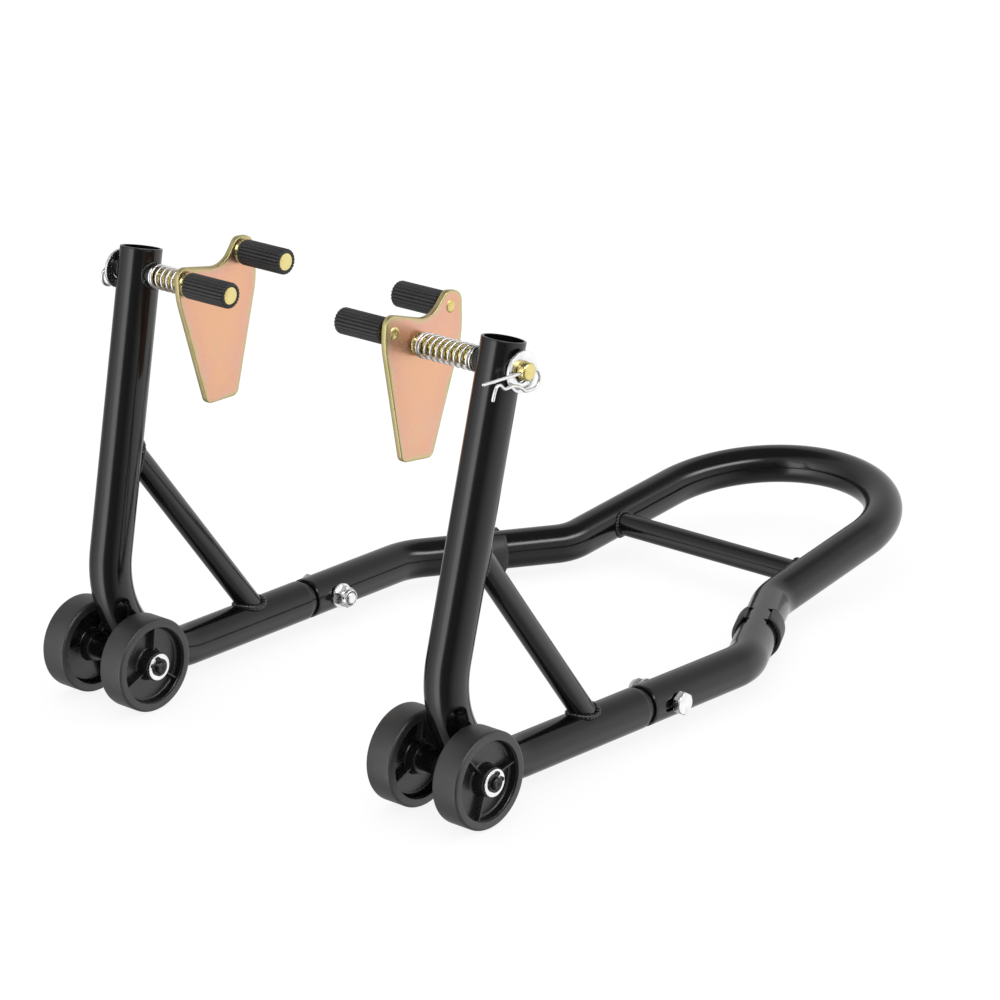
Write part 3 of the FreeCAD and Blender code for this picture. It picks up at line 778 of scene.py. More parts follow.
def hex_rings(rows):
    """Rings from (x, radius) rows, each a number or one value per segment."""
    angle = full_turn(HEX_SEGMENTS)
    verts = []
    for x, radius in rows:
        x = np.full(HEX_SEGMENTS, x, float)
        verts.append(np.stack([x, radius * np.cos(angle), radius * np.sin(angle)], 1))
    return np.concatenate(verts)


def hex_bolt():
    flats = hex_radii()
    rim, drop = hex_chamfer(flats, HEAD_CHAMFER_R)
    x0, x1 = HEAD_X0, HEAD_X1
    head = [(x0, flats - 0.5), (x0 + 0.35, flats - 0.05), (x0 + 0.6, flats),
            (x1 - drop - 0.3, flats), (x1 - drop * 0.6 - 0.1, flats * 0.45 + rim * 0.55),
            (x1, rim), (x1, rim - 0.5), (x1 - 0.12, 5.2), (x1 - 0.12, 0.4)]
    piece = Build().add(hex_rings(head), capped_faces(len(head), HEX_SEGMENTS))
    piece.add(*turned([(x0 + 0.5, BOLT_R - 0.03), (BOLT_TIP + 1.0, BOLT_R - 0.03),
                       (BOLT_TIP + 0.25, BOLT_R - 0.7), (BOLT_TIP, BOLT_R - 1.2)], 48))
    # thread crests on the free end: two turns of 28 points
    crest = []
    for k in range(28 * 2):
        angle = 2 * math.pi * k / 28
        crest.append([BOLT_TIP + 0.9 + THREAD_PITCH * k / 28,
                      (BOLT_R - 0.25) * math.cos(angle), (BOLT_R - 0.25) * math.sin(angle)])
    return piece.add(*bar(crest, 0.38, 6, ends="flat"))


def lock_nut():
    """Hex nut with a round collar and a plastic insert."""
    flats = hex_radii()
    rim, drop = hex_chamfer(flats, NUT_CHAMFER_R)
    bore = BOLT_R + 0.05
    x0 = WASHER_X0 - 0.02
    x1 = x0 - NUT_L
    shell = [(x0, bore), (x0, flats - 0.6), (x0 - 0.35, flats - 0.05), (x0 - 0.6, flats),
             (x1 + 3.7 + drop, flats), (x1 + 3.3, rim), (x1 + 3.2, 7.7), (x1 + 1.2, 7.6),
             (x1 + 0.4, 7.3), (x1, 6.7), (x1 + 0.05, 6.3), (x1 + 0.5, 6.1)]
    insert = [(x1 + 0.5, 6.25), (x1 + 0.55, bore + 0.1), (x1 + 3.0, bore + 0.1),
              (x1 + 3.0, 6.25)]
    lining = [(x0, bore), (x1 + 0.5, 6.1)]
    piece = Build()
    piece.add(hex_rings(shell), grid_faces(len(shell), HEX_SEGMENTS))
    piece.add(hex_rings(insert), grid_faces(len(insert), HEX_SEGMENTS, closed=True), slot=1)
    return piece.add(hex_rings(lining), grid_faces(len(lining), HEX_SEGMENTS))


def build_joint_bolts():
    def place(verts):
        return verts + BOLT_CENTRE

    for side, mirror in SIDES:
        hex_bolt().make("joint_bolt_hex_" + side, [ZINC], "root", "bright_zinc",
                        ["joint_bolt_" + side], place=place, mirror=mirror, sharp=24)
        flat_washer = washer(WASHER_X0, WASHER_X0 + 2.0, BOLT_R + 0.1, 10.5)
        Build().add(*flat_washer).make("joint_flat_washer_" + side, [ZINC], "root",
                                       "bright_zinc", ["joint_washer_" + side],
                                       place=place, mirror=mirror)
        lock_nut().make("joint_lock_nut_" + side, [ZINC, NYLON], "root", "bright_zinc",
                        ["joint_nut_" + side], place=place, mirror=mirror, sharp=24)


# ---------------------------------------------------------------------------
# braces, cross tube and welds
# ---------------------------------------------------------------------------
def bead_curve(start, bar_dir, bar_r, tube_point, tube_dir, tube_r, count=150):
    """Where a round bar meets a round tube, at the first meeting along bar_dir."""
    bar_dir, tube_dir = unit(bar_dir), unit(tube_dir)
    ref = np.array([0, 0, 1.0]) if abs(bar_dir[2]) < 0.9 else X_AXIS
    first = unit(np.cross(bar_dir, ref))
    second = np.cross(bar_dir, first)
    out = []
    for a in full_turn(count):
        origin = start + bar_r * (math.cos(a) * first + math.sin(a) * second)
        # distance from the tube's axis, as a quadratic in the distance along the bar
        offset = origin - tube_point - ((origin - tube_point) @ tube_dir) * tube_dir
        rate = bar_dir - (bar_dir @ tube_dir) * tube_dir
        square, linear = rate @ rate, 2 * offset @ rate
        constant = offset @ offset - tube_r * tube_r
        root = math.sqrt(max(linear * linear - 4 * square * constant, 0.0))
        out.append(origin + bar_dir * ((-linear - root) / (2 * square)))
    return np.array(out)


def bead(curve, radius, pitch, seed):
    """Rippled weld bead along a closed curve."""
    random = np.random.default_rng(seed)
    steps = np.linalg.norm(np.roll(curve, -1, 0) - curve, axis=1)
    total = steps.sum()
    along = np.concatenate([[0], np.cumsum(steps)])[:-1] / total

    def wander(low, high, count):
        values = random.uniform(low, high, count)
        return np.interp(along, np.linspace(0, 1, count + 1), np.r_[values, values[0]])

    phase = along * max(6, round(total / pitch))
    swell = wander(0.72, 1.22, 12)
    drift = wander(-0.45, 0.45, 9)
    depth = wander(0.05, 0.26, 15)
    ripple = np.abs(np.sin(math.pi * (phase + drift))) ** 0.8
    return bar(curve, radius * (0.98 - depth + depth * 1.2 * ripple) * swell, 14, closed=True)


def build_braces():
    rearwards = unit(np.array([0.0, UPRIGHT_DIR[2], -UPRIGHT_DIR[1]]))
    top = UPRIGHT_TOP + (HEEL - UPRIGHT_TOP) * BRACE_UP + rearwards * TUBE_R
    foot = HEEL + LEG_DIR * BRACE_LOW + np.array([0, 0, TUBE_R])
    brace_dir = unit(foot - top)
    middle = (top + foot) / 2
    cross_mid = ARM_START + ARM_DIR * CROSS_AT
    upright, leg = (UPRIGHT_TOP, UPRIGHT_DIR), (HEEL, LEG_DIR)
    arm = (SWEEP_REAR, unit(ARM_END - SWEEP_REAR))
    skin, bush_skin = TUBE_R + 0.2, TUBE_R + 0.1
    bush = BUSH_R + 0.4
    cross_curve = bead_curve(cross_mid, X_AXIS, CROSS_R + 0.6, *arm, skin)
    welds = [                           # curve, bead radius, ripple pitch
        (bead_curve(middle, -brace_dir, BRACE_R + 0.6, *upright, skin), 2.3, 3.1),
        (bead_curve(middle, brace_dir, BRACE_R + 0.6, *leg, skin), 2.6, 3.3),
        (cross_curve, 2.3, 3.1),
        (bead_curve(ROD_MID - OUTWARD * 60, OUTWARD, bush, *upright, bush_skin), 1.7, 2.7),
        (bead_curve(ROD_MID + OUTWARD * 60, -OUTWARD, bush, *upright, bush_skin), 1.5, 2.7),
    ]
    brace_path = np.linspace(top - brace_dir * 9, foot + brace_dir * 9, 60)
    for side, mirror in SIDES:
        Build().add(*bar(brace_path, BRACE_R, 72, ends="flat")).make(
            "frame_brace_" + side, [PAINT], "root", "black_paint", ["brace_tube_" + side],
            mirror=mirror)
        beads = Build()
        for k, (curve, radius, pitch) in enumerate(welds):
            beads.add(*bead(curve, radius, pitch, seed=(31 if mirror else 11) + k))
        beads.make("weld_beads_" + side, [WELD], "root", "black_paint", mirror=mirror, sharp=60)
    half = X_AXIS * (cross_curve[:, 0].mean() + 5)
    cross_path = np.linspace(cross_mid - half, cross_mid + half, 60)
    Build().add(*bar(cross_path, CROSS_R, 72, ends="flat")).make(
        "frame_cross_tube", [PAINT], "root", "black_paint", ["cross_tube"])


# ---------------------------------------------------------------------------
# foot pads
# ---------------------------------------------------------------------------
def build_foot_pads():
    """Sleeves open at the top with a flat foot, midway along each sweep."""
    along = unit(SWEEP_REAR - SWEEP_FRONT)
    middle = (SWEEP_FRONT + SWEEP_REAR) / 2
    across = unit(np.cross(along, [0, 0, 1]))
    up = unit(np.cross(across, along))
    outer, inner = TUBE_R + PAD_T, TUBE_R + 0.12
    floor_z = -middle[2] + 0.02
    half_foot, neck_z = PAD_FOOT / 2, -19.0
    top, low, pi = PAD_TOP_ANGLE, PAD_LOW_ANGLE, math.pi

    def polar(radius, angle, fillet=0):
        return radius * math.cos(angle), radius * math.sin(angle), fillet

    profile = [polar(outer, top, 1.5)]
    profile += [polar(outer, a) for a in np.linspace(top, -low, 22)[1:]]
    profile += [(half_foot + 0.4, neck_z, 1.5), (half_foot, floor_z, 1.4),
                (-half_foot, floor_z, 1.4), (-half_foot - 0.4, neck_z, 1.5)]
    profile += [polar(outer, a) for a in np.linspace(pi + low, pi - top, 22)[:-1]]
    profile += [polar(outer, pi - top, 1.5), polar(inner, pi - top, 0.8)]
    profile += [polar(inner, a) for a in np.linspace(pi - top, 2 * pi + top, 46)[1:-1]]
    profile += [polar(inner, top, 0.8)]
    outline = counter_clockwise(filleted(profile, 4))
    half = PAD_L / 2
    end = [(half - 1.0, 0.0), (half - 0.4, 0.25), (half - 0.12, 0.6), (half, 1.0)]
    levels = [(-depth, inwards) for depth, inwards in reversed(end)] + [(-4, 0), (4, 0)] + end
    rows = []
    for depth, inwards in levels:
        flat = inset(outline, inwards)
        rows.append(middle + np.outer(flat[:, 0], across) + np.outer(flat[:, 1], up)
                    + along * depth)
    faces = capped_faces(len(rows), len(outline))
    for side, mirror in SIDES:
        Build().add(np.concatenate(rows), faces).make(
            "foot_pad_sleeve_" + side, [PAD], "root", "foot_rubber", ["foot_pad_" + side],
            mirror=mirror, sharp=50)


# ---------------------------------------------------------------------------
# wheels: x runs from the face near the axle's middle to the far face
# ---------------------------------------------------------------------------
TYRE_PROFILE = [                        # x, radius, corner radius
    (0.0, RIM_R, 0.5), (0.0, WHEEL_R, 2.6), (WHEEL_W, WHEEL_R, 2.6), (WHEEL_W, RIM_R, 0.5),
    (WHEEL_W - 1.4, RIM_R, 0.3), (WHEEL_W - 1.4, 33.4, 0.2), (1.4, 33.4, 0.2),
    (1.4, RIM_R, 0.3),
]
CORE_PROFILE = [                        # x, radius, corner radius
    (1.5, 33.3, 0), (1.5, 31.5, 0.4), (2.2, 30.9, 0.4), (WEB_NEAR, 30.3, 2.2),
    (WEB_NEAR, 13.0, 2.0), (-HUB_NEAR, 12.0, 0.7), (-HUB_NEAR, HUB_BORE_R, 0.5),
    (WHEEL_W + HUB_FAR, HUB_BORE_R, 0.5), (WHEEL_W + HUB_FAR, 11.6, 0.8),
    (WEB_FAR, 12.6, 2.0), (WEB_FAR, 30.3, 2.2), (WHEEL_W - 2.2, 30.9, 0.4),
    (WHEEL_W - 1.5, 31.5, 0.4), (WHEEL_W - 1.5, 33.3, 0),
]


def tread_ripple(x, radius, angle):
    """Faint moulding waves on the tread."""
    on_tread = np.clip((radius - 37.8) / 0.5, 0, 1)
    return radius + on_tread * 0.05 * np.sin(angle * 9) * np.cos(x * 0.5)


def rib(angle, x0, x1):
    """A radial rib with drawn sides and a rounded crest, rising from x0 to x1."""
    outwards = np.array([0, math.cos(angle), math.sin(angle)])
    sideways = np.array([0, -math.sin(angle), math.cos(angle)])
    way = 1 if x1 > x0 else -1
    height = abs(x1 - x0)
    flank = [(-0.75, 0.0), (-0.55, 0.5), (-0.42, height - 0.6), (-0.22, height)]
    section = flank + [(-share, rise) for share, rise in reversed(flank)]
    rows = [[X_AXIS * (x0 + way * rise) + outwards * radius + sideways * (share * RIB_W)
             for share, rise in section] for radius in np.linspace(RIB_FROM, RIB_TO, 8)]
    return np.array(rows).reshape(-1, 3), capped_faces(8, len(section))


def build_wheels():
    for key, phase in RIB_PHASE.items():
        which, side = key.split("_")
        way = -1.0 if which == "inner" else 1.0

        def place(verts):
            x = AXLE[0] + way * (WHEEL_GAP + verts[:, 0])
            return np.stack([x, verts[:, 1] + AXLE[1], verts[:, 2] + AXLE[2]], 1)

        body, mirror = "wheel_" + key, side == "l"
        Build().add(*lathe(filleted(TYRE_PROFILE, 7), 128, wave=tread_ripple)).make(
            "tyre_tread_" + key, [TREAD], body, "tread_rubber", ["tyre_" + key], place=place,
            mirror=mirror, sharp=50)
        core = Build().add(*lathe(filleted(CORE_PROFILE, 5), 128))
        for k in range(3):
            angle = math.radians(phase + 120 * k)
            core.add(*rib(angle, WEB_FAR - 0.3, WHEEL_W - 2.6))
            core.add(*rib(angle, WEB_NEAR + 0.3, 2.6))
        core.make("wheel_core_" + key, [HUB], body, "wheel_plastic", ["wheel_hub_" + key],
                  place=place, mirror=mirror, sharp=42)


def build_axles():
    """Axle pins with centred ends, and the washer at each end."""
    def place(verts):
        return verts + AXLE * NO_X

    x0, x1 = box_span("axle_r")
    end = [(0.9, 0.15), (0.1, 1.3), (0, 1.6), (0, 3.9), (0.25, 4.3), (0.9, 4.96), (2.2, 4.97)]
    profile = [(x0 + depth, radius) for depth, radius in end]
    profile += [(x1 - depth, radius) for depth, radius in reversed(end)]
    washer_x0, washer_x1 = box_span("axle_washers_r")
    for side, mirror in SIDES:
        Build().add(*turned(profile, 56)).make(
            "axle_pin_" + side, [STEEL], "root", "black_steel", ["axle_" + side],
            place=place, mirror=mirror, sharp=30)
        washers = Build()
        washers.add(*washer(washer_x0, washer_x0 + 1.6, 5.1, 10.9, 0.3))
        washers.add(*washer(washer_x1 - 1.6, washer_x1, 5.1, 10.9, 0.3))
        washers.make("axle_end_washers_" + side, [ZINC], "root", "bright_zinc",
                     ["axle_washers_" + side], place=place, mirror=mirror)


# ---------------------------------------------------------------------------
# fork heads
# ---------------------------------------------------------------------------
def head_placement(hang):
    """From the head's own frame into the leaning right upright."""
    cos_hang, sin_hang = math.cos(hang), math.sin(hang)
    cos_lean, sin_lean = math.cos(LEAN), math.sin(LEAN)

    def place(verts):
        x = verts[:, 0]
        y = verts[:, 1] * cos_hang - verts[:, 2] * sin_hang
        z = verts[:, 1] * sin_hang + verts[:, 2] * cos_hang
        leant = np.stack([x * cos_lean + z * sin_lean, y, -x * sin_lean + z * cos_lean], 1)
        return leant + ROD_MID
    return place


def resample(outline, step):
    steps = np.linalg.norm(np.roll(outline, -1, 0) - outline, axis=1)
    along = np.concatenate([[0], np.cumsum(steps)])
    stops = np.linspace(0, along[-1], int(along[-1] / step), endpoint=False)
    ring = np.vstack([outline, outline[0]])
    return np.column_stack([np.interp(stops, along, ring[:, i]) for i in (0, 1)])


def edge_distance(points, outline):
    edge = np.roll(outline, -1, 0) - outline
    from_start = points[:, None] - outline[None]
    share = np.clip((from_start * edge[None]).sum(2) / (edge ** 2).sum(1)[None], 0, 1)
    gap = points[:, None] - (outline[None] + edge[None] * share[..., None])
    return np.sqrt((gap ** 2).sum(2)).min(1)


def filled(outline, x, step=3.0):
    """Flat face filled with a fine even mesh, so that the colour can follow the edge."""
    bm = bmesh.new()
    verts = [bm.verts.new((0, y, z)) for y, z in outline]
    edges = [bm.edges.new((verts[i], verts[(i + 1) % len(verts)])) for i in range(len(verts))]
    bmesh.ops.triangle_fill(bm, use_beauty=True, edges=edges, use_dissolve=False)
    for _ in range(6):
        too_long = [e for e in bm.edges if e.calc_length() > step and not e.is_boundary]
        if not too_long:
            break
        bmesh.ops.subdivide_edges(bm, edges=too_long, cuts=1)
        bmesh.ops.triangulate(bm, faces=bm.faces[:])
    inside = [e for e in bm.edges if not e.is_boundary]
    bmesh.ops.beautify_fill(bm, faces=bm.faces[:], edges=inside)
    bm.verts.index_update()
    points = np.array([[x, vert.co.y, vert.co.z] for vert in bm.verts])
    faces = [tuple(vert.index for vert in face.verts) for face in bm.faces]
    bm.free()
    return points, faces


def plate_skin():
    """Plate with a rounded rim and two flat faces that know their distance from the edge."""
    outline = resample(counter_clockwise(filleted(PLATE_OUTLINE, 12)), PLATE_STEP)
    radius = PLATE_EDGE_R
    rim = []                            # x, distance inwards
    for x, way, angles in ((PLATE_INNER, 1, (90, 60, 30, 0)), (PLATE_OUTER, -1, (0, 30, 60, 90))):
        for degrees in angles:
            angle = math.radians(degrees)
            rim.append((x + way * (radius - radius * math.sin(angle)),
                        radius - radius * math.cos(angle)))
    verts = [np.column_stack([np.full(len(outline), x), inset(outline, inwards)])
             for x, inwards in rim]
    piece = Build().add(np.concatenate(verts), grid_faces(len(rim), len(outline)))
    for x in (PLATE_INNER, PLATE_OUTER):
        verts, faces = filled(inset(outline, radius), x)
        piece.add(verts, faces, edge_mm=edge_distance(verts[:, 1:], outline) + 0.4)
    return piece


def pivot_rod():
    """Rod with a chamfered outer end and a weld collar against the plate."""
    inner, outer = PLATE_INNER, PLATE_OUTER
    verts, faces = turned([
        (inner - 0.9, 0.4), (inner - 0.9, 5.4), (inner - 0.4, 6.2), (inner + 0.2, ROD_R),
        (outer, ROD_R), (outer, 9.2), (outer + 0.6, 9.0), (outer + 1.8, 8.2),
        (outer + 2.8, 7.1), (outer + 3.2, ROD_R),
        (ROD_END - 1.3, ROD_R), (ROD_END - 1.0, ROD_R - 0.12), (ROD_END - 0.15, ROD_R - 1.1),
        (ROD_END, ROD_R - 1.5), (ROD_END, 0.4)], 72)
    collar = ((np.abs(verts[:, 0] + PLATE_AT - 1.2) < 1.7)
              & (np.hypot(verts[:, 1], verts[:, 2]) > ROD_R + 0.05))
    uneven(verts, collar, [(0.022, 5, 1.0), (0.010, 13, 0.0)])
    return verts, faces


def fork_pins():
    """Two bars welded to the plate's inner face, with riveted ends on its outer face."""
    tip, foot = PLATE_INNER - PIN_L, PLATE_INNER
    rivet = foot + PLATE_T
    profile = [
        (tip, 0.5), (tip, PIN_R - 0.9), (tip + 0.15, PIN_R - 0.45), (tip + 0.8, PIN_R - 0.02),
        (foot - 3.0, PIN_R - 0.02), (foot - 2.4, PIN_R + 0.1), (foot - 0.9, PIN_R + 0.9),
        (foot - 0.02, PIN_R + 1.7), (foot + 1.0, PIN_R - 2.4), (rivet + 0.02, 4.9),
        (rivet + 0.55, 4.3), (rivet + 0.8, 3.2), (rivet + 0.45, 2.2), (rivet + 0.4, 0.4)]
    piece = Build()
    for y, z in PINS.values():
        verts, faces = turned(profile, 64)
        uneven(verts, np.abs(verts[:, 0] - (foot - 0.5)) < 0.7,
               [(0.02, 5, 0.0), (0.012, 11, 2)])
        piece.add(verts + np.array([0, y, z]), faces)
    return piece


def fluted_grip(y, z):
    """Ribbed sleeve round a pin; the flutes run along it and fade at the ends."""
    root, tip = PLATE_INNER - GRIP_GAP, PLATE_INNER - PIN_L - 0.3
    segments = FLUTES * 12
    angle = full_turn(segments)
    phase = (angle * FLUTES / (2 * math.pi)) % 1.0
    # broad flat-topped ribs with narrow rounded grooves
    closeness = np.clip(1 - np.abs(phase - 0.5) / 0.26, 0, 1)
    groove = FLUTE_DEPTH * (0.5 - 0.5 * np.cos(math.pi * closeness))
    outside = [                         # x, loss of radius, share of the groove
        (tip, 1.5, 0.8), (tip + 0.25, 0.75, 1.0), (tip + 0.8, 0.25, 1.0),
        (tip + 1.6, 0.0, 1.0), (tip + 16, 0, 1), (tip + 32, 0, 1),
        (root - 1.4, 0.0, 1.0), (root - 0.5, 0.25, 1.0), (root, 0.9, 0.9)]
    rings = [(x, GRIP_R - loss - groove * share) for x, loss, share in outside]
    rings += [(root, 7.45), (root - 0.2, PIN_R + 0.02), (tip + 0.4, PIN_R + 0.02),
              (tip, PIN_R + 0.35)]
    rows = [np.stack([np.full(segments, x), radius * np.cos(angle), radius * np.sin(angle)], 1)
            for x, radius in rings]
    verts = np.concatenate(rows) + np.array([0, y, z])
    return verts, grid_faces(len(rows), segments, closed=True)


def clip_line(way):
    """Straight leg through the rod, loop, and the waved leg under the rod."""
    cos, sin = math.cos(CLIP_TILT), math.sin(CLIP_TILT)
    lengthwise = np.array([0, cos * way, sin])
    crosswise = np.array([0, -sin * way, cos])

    def point(along, across):
        return np.array([CLIP_AT, 0, 0]) + lengthwise * along + crosswise * across

    radius = CLIP_LOOP_R
    line = [point(along, 0) for along in np.linspace(-47, CLIP_START - 0.4, 24)]
    line += [point(CLIP_START + radius * math.sin(a), -radius + radius * math.cos(a))
             for a in np.linspace(0, math.pi, 26)]
    wave = [point(CLIP_START, -2 * radius)] + [point(*station) for station in CLIP_WAVE]
    line += list(smooth_curve(wave)[1:])
    return np.array(line)


def spring_path(phase):
    """Coil from the bush inwards to the plate's collar, with closed end coils."""
    start = -BUSH_IN - SPRING_WIRE / 2 - 0.05
    end = PLATE_OUTER + SPRING_STOP + SPRING_WIRE / 2 + 0.05
    share = np.linspace(0, 1, 560)
    angle = share * (SPRING_TURNS + 1.2) * 2 * math.pi + phase
    # the end 11 % of the wire advances only 4.5 % of the length
    tight, advance = 0.11, 0.045
    x = np.interp(share, [0, tight, 1 - tight, 1], [0, advance, 1 - advance, 1])
    x = np.convolve(np.pad(x, 7, mode="edge"), np.ones(15) / 15, "valid")
    return np.stack([start + (end - start) * x, SPRING_R * np.cos(angle),
                     SPRING_R * np.sin(angle)], 1)


def build_spring(side, mirror, place):
    path = spring_path(phase=2.2 if mirror else 0.6)
    spring = Build().add(*bar(path, SPRING_WIRE / 2, 14, ends="flat")).make(
        "rod_spring_coil_" + side, [ZINC], "root", "bright_zinc", ["rod_spring_" + side],
        place=place, mirror=mirror, sharp=60)
    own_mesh(spring)


def build_fork_heads():
    skin = plate_skin()
    for side, mirror in SIDES:
        hung = dict(place=head_placement(HANG[side]), mirror=mirror)
        level = dict(place=head_placement(0.0), mirror=mirror)
        head = "fork_head_" + side
        plate = skin.make("fork_plate_skin_" + side, [PLATE], head, "yellow_zinc",
                          ["fork_plate_" + side], **hung)
        recalc_normals(plate.data, merge=0.00001)
        shade(plate.data)
        Build().add(*pivot_rod()).make("pivot_rod_bar_" + side, [GOLD], head, "yellow_zinc",
                                       ["pivot_rod_" + side], sharp=32, **hung)
        fork_pins().make("fork_pin_bars_" + side, [GOLD], head, "yellow_zinc",
                         ["fork_pins_" + side], sharp=32, **hung)
        for name, (y, z) in PINS.items():
            Build().add(*fluted_grip(y, z)).make(
                f"ribbed_grip_{name}_{side}", [GRIP], head, "grip_rubber",
                [f"grip_{name}_{side}"], sharp=50, **hung)
        clip = bar(clip_line(-1.0 if mirror else 1.0), CLIP_WIRE / 2, 18)
        Build().add(*clip).make("r_clip_wire_" + side, [ZINC], head, "bright_zinc",
                                ["r_clip_" + side], sharp=60, **hung)

        x0, x1, bore = -BUSH_IN, BUSH_OUT, ROD_R + 0.08
        profile = [(x0, bore, 0.3), (x0, BUSH_R, 0.6), (x1, BUSH_R, 0.6), (x1, bore, 0.3)]
        Build().add(*lathe(filleted(profile, 4), 80)).make(
            "pivot_bush_sleeve_" + side, [PAINT], "root", "black_paint",
            ["pivot_bush_" + side], **level)
        verts, faces = washer(20.7, 23.1, END_WASHER_BORE, 15.8, 0.4)
        Build().add(verts - np.array([0, 0, END_WASHER_DROP]), faces).make(
            "rod_end_washer_" + side, [ZINC], "rod_carrier_" + side, "bright_zinc",
            ["rod_washer_" + side], **level)
        build_spring(side, **level)


def finish_cad_nodes():
    """CAD nodes that stay get the real finishes."""
    finishes = {"joint_spigot": PAINT, "wheel_bush": BUSH, "axle_sleeve": PAINT,
                "circlips": STEEL}
    for name, obj in frame["nodes"].items():
        for stem, material in finishes.items():
            if name.startswith(stem):
                obj.data.materials.clear()
                obj.data.materials.append(material)


# ---------------------------------------------------------------------------
# studio: white light, with a drawn surround that only glossy rays see
# ---------------------------------------------------------------------------
VIEW_AZIMUTH = math.radians(42.15)
VIEW_RIGHT = (math.cos(VIEW_AZIMUTH), math.sin(VIEW_AZIMUTH), 0.0)
TO_CAMERA = (math.sin(VIEW_AZIMUTH), -math.cos(VIEW_AZIMUTH), 0)
RING_MAX = 4.0
RING = [            # degrees from the camera's side towards its right, brightness
    (-180, 0.7), (-128, 0.4), (-110, 0.5), (-92, 0.95), (-70, 1.7), (-56, 3.2), (-40, 3.5),
    (-33, 0.5), (-24, 0.22), (8, 0.16), (24, 0.45), (40, 0.85), (72, 1.3), (104, 1.35),
    (156, 0.9), (180, 0.7),
]
DOWN_LEVEL = 0.42                       # brightness straight down
STRIP_LEVEL = 8.5
FLOOR_HALF, FLOOR_Z = 14.0, -0.0004     # metres


def surround(tree):
    """What the gloss sees: soft boxes and dark gaps set by direction round the stand."""
    def calc(operation, *values):
        node = tree.nodes.new("ShaderNodeMath")
        node.operation = operation
        for socket, value in zip(node.inputs, values):
            if hasattr(value, "is_output"):
                tree.links.new(value, socket)
            else:
                socket.default_value = value
        return node.outputs[0]

    ray = tree.nodes.new("ShaderNodeNewGeometry").outputs["Incoming"]

    def along(direction):
        node = tree.nodes.new("ShaderNodeVectorMath")
        node.operation = "DOT_PRODUCT"
        tree.links.new(ray, node.inputs[0])
        # incoming points back along the ray
        node.inputs[1].default_value = [-float(part) for part in direction]
        return node.outputs["Value"]

    def ease(value, over, to):
        node = tree.nodes.new("ShaderNodeMapRange")
        node.interpolation_type = "SMOOTHSTEP"
        tree.links.new(value, node.inputs["Value"])
        for key, number in zip(("From Min", "From Max", "To Min", "To Max"), (*over, *to)):
            node.inputs[key].default_value = number
        return node.outputs["Result"]

    rise, fall = (0.0, 1.0), (1.0, 0.0)
    height = along((0, 0, 1))
    azimuth = calc("ARCTAN2", along(VIEW_RIGHT), along(TO_CAMERA))
    ring = tree.nodes.new("ShaderNodeValToRGB")
    fill_ramp(ring, [((degrees + 180.0) / 360.0, level / RING_MAX) for degrees, level in RING])
    turn = calc("ADD", calc("MULTIPLY", azimuth, 1 / (2 * math.pi)), 0.5)
    tree.links.new(turn, ring.inputs["Fac"])
    around = calc("MULTIPLY", ring.outputs["Color"], RING_MAX)
    # straight down the directions crowd together, so an even level takes over
    down = ease(height, over=(-0.92, -0.45), to=fall)
    side = calc("ADD", calc("MULTIPLY", around, calc("SUBTRACT", 1.0, down)),
                calc("MULTIPLY", down, DOWN_LEVEL))
    # above eye height the ring gives way to an even tent, with one strip light to the
    # right at forty-odd degrees up and little light straight overhead
    high = ease(height, over=(0.15, 0.75), to=rise)
    strip_height = calc("MULTIPLY", ease(height, over=(0.54, 0.64), to=rise),
                        ease(height, over=(0.70, 0.78), to=fall))
    strip_width = calc("MULTIPLY", ease(azimuth, over=(-0.35, 0.25), to=rise),
                       ease(azimuth, over=(1.05, 1.75), to=fall))
    strip = calc("MULTIPLY", strip_height, strip_width)
    tent = calc("ADD", ease(height, over=(0.70, 0.86), to=(0.72, 0.16)),
                calc("MULTIPLY", strip, STRIP_LEVEL))
    level = calc("ADD", calc("MULTIPLY", side, calc("SUBTRACT", 1.0, high)),
                 calc("MULTIPLY", tent, high))
    glow = tree.nodes.new("ShaderNodeEmission")
    tree.links.new(level, glow.inputs["Strength"])
    return glow.outputs[0], tree.nodes.new("ShaderNodeLightPath").outputs["Is Glossy Ray"]


def gloss_switch(tree, plain, glow, is_glossy):
    """Glow for glossy rays, the plain shader for all others."""
    switch = tree.nodes.new("ShaderNodeMixShader")
    for socket, source in zip(switch.inputs, (is_glossy, plain, glow)):
        tree.links.new(source, socket)
    return switch.outputs[0]


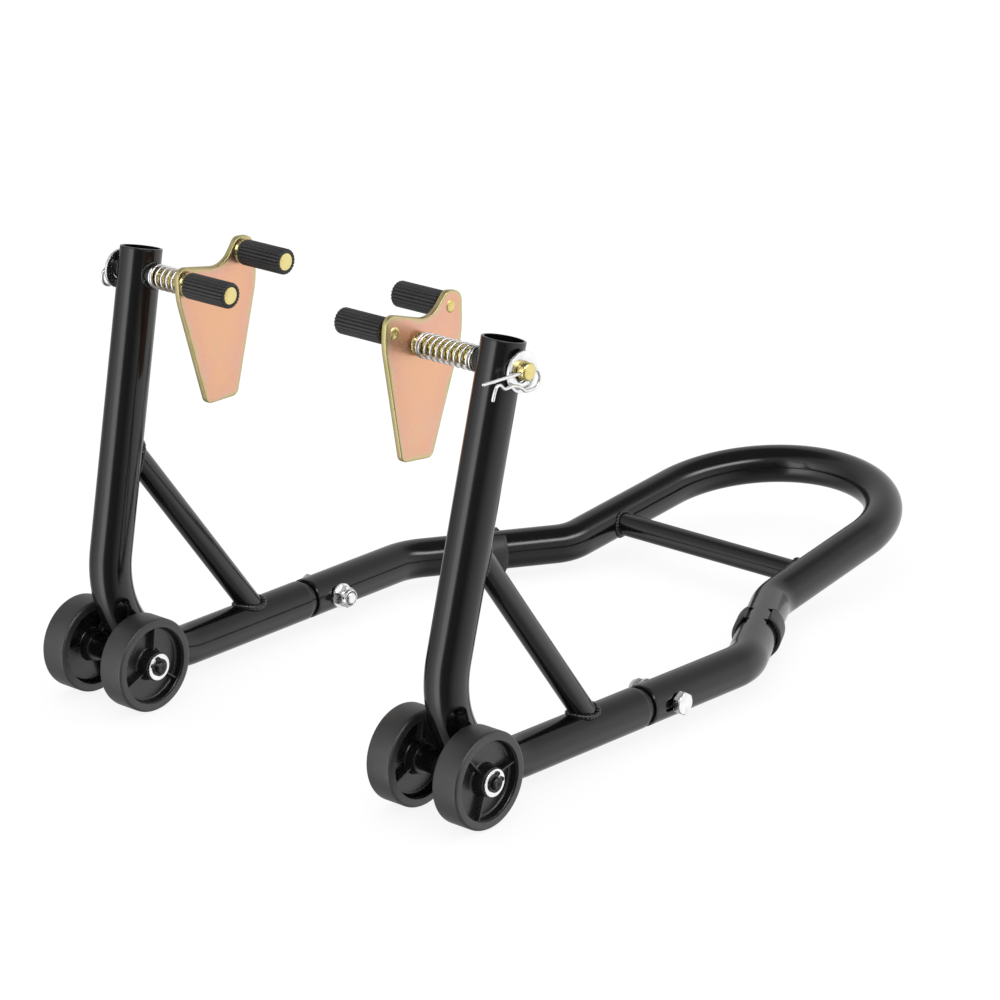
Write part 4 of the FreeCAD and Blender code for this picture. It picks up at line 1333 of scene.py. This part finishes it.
def build_floor():
    mesh = bpy.data.meshes.new("studio_floor")
    corners = [(x * FLOOR_HALF, y * FLOOR_HALF, FLOOR_Z)
               for x, y in ((-1, -1), (1, -1), (1, 1), (-1, 1))]
    mesh.from_pydata(corners, [], [(0, 1, 2, 3)])
    link_object("studio_floor", mesh)
    m = Mat("studio_floor")
    m.set(Base_Color=m.ramp(m.noise(scale=3.0, detail=2.0), [(0.3, 0.165), (0.7, 0.175)]),
          Roughness=0.75, Specular_IOR_Level=0.0, Emission_Color=1.0, Emission_Strength=0.865)
    glow, is_glossy = surround(m.tree)
    mixed = gloss_switch(m.tree, m.shader.outputs[0], glow, is_glossy)
    m.link(mixed, m.tree.nodes["Material Output"].inputs["Surface"])
    m.material.cycles.emission_sampling = "NONE"
    mesh.materials.append(m.material)


def build_world():
    world = bpy.data.worlds.new("studio")
    bpy.context.scene.world = world
    world.use_nodes = True
    world.cycles.sampling_method = "NONE"
    tree = world.node_tree
    tree.nodes.clear()
    glow, is_glossy = surround(tree)
    white = tree.nodes.new("ShaderNodeBackground")
    white.inputs["Color"].default_value = rgba(1.0)
    white.inputs["Strength"].default_value = 1.0
    mixed = gloss_switch(tree, white.outputs[0], glow, is_glossy)
    output = tree.nodes.new("ShaderNodeOutputWorld")
    tree.links.new(mixed, output.inputs["Surface"])


def build_camera():
    bpy.context.scene.view_settings.view_transform = "Standard"
    bpy.context.scene.view_settings.look = "None"
    data = bpy.data.cameras.new("camera")
    camera = link_object("camera", data)
    bpy.context.scene.camera = camera
    data.sensor_width = 36.0
    data.clip_start, data.clip_end = 0.05, 60.0
    data.lens = 146.0
    position = Vector((2.0828, -2.0655 - DATUM_Y / 1000, 1.1963))
    aim = Vector((0.0, 0.262 - DATUM_Y / 1000, 0.142))
    camera.location = position
    camera.rotation_mode = "QUATERNION"
    camera.rotation_quaternion = (aim - position).to_track_quat("-Z", "Y")


build_side_tubes()
build_handle_bar()
build_joint_bolts()
build_braces()
build_foot_pads()
build_wheels()
build_axles()
build_fork_heads()
finish_cad_nodes()
build_floor()
build_world()
build_camera()
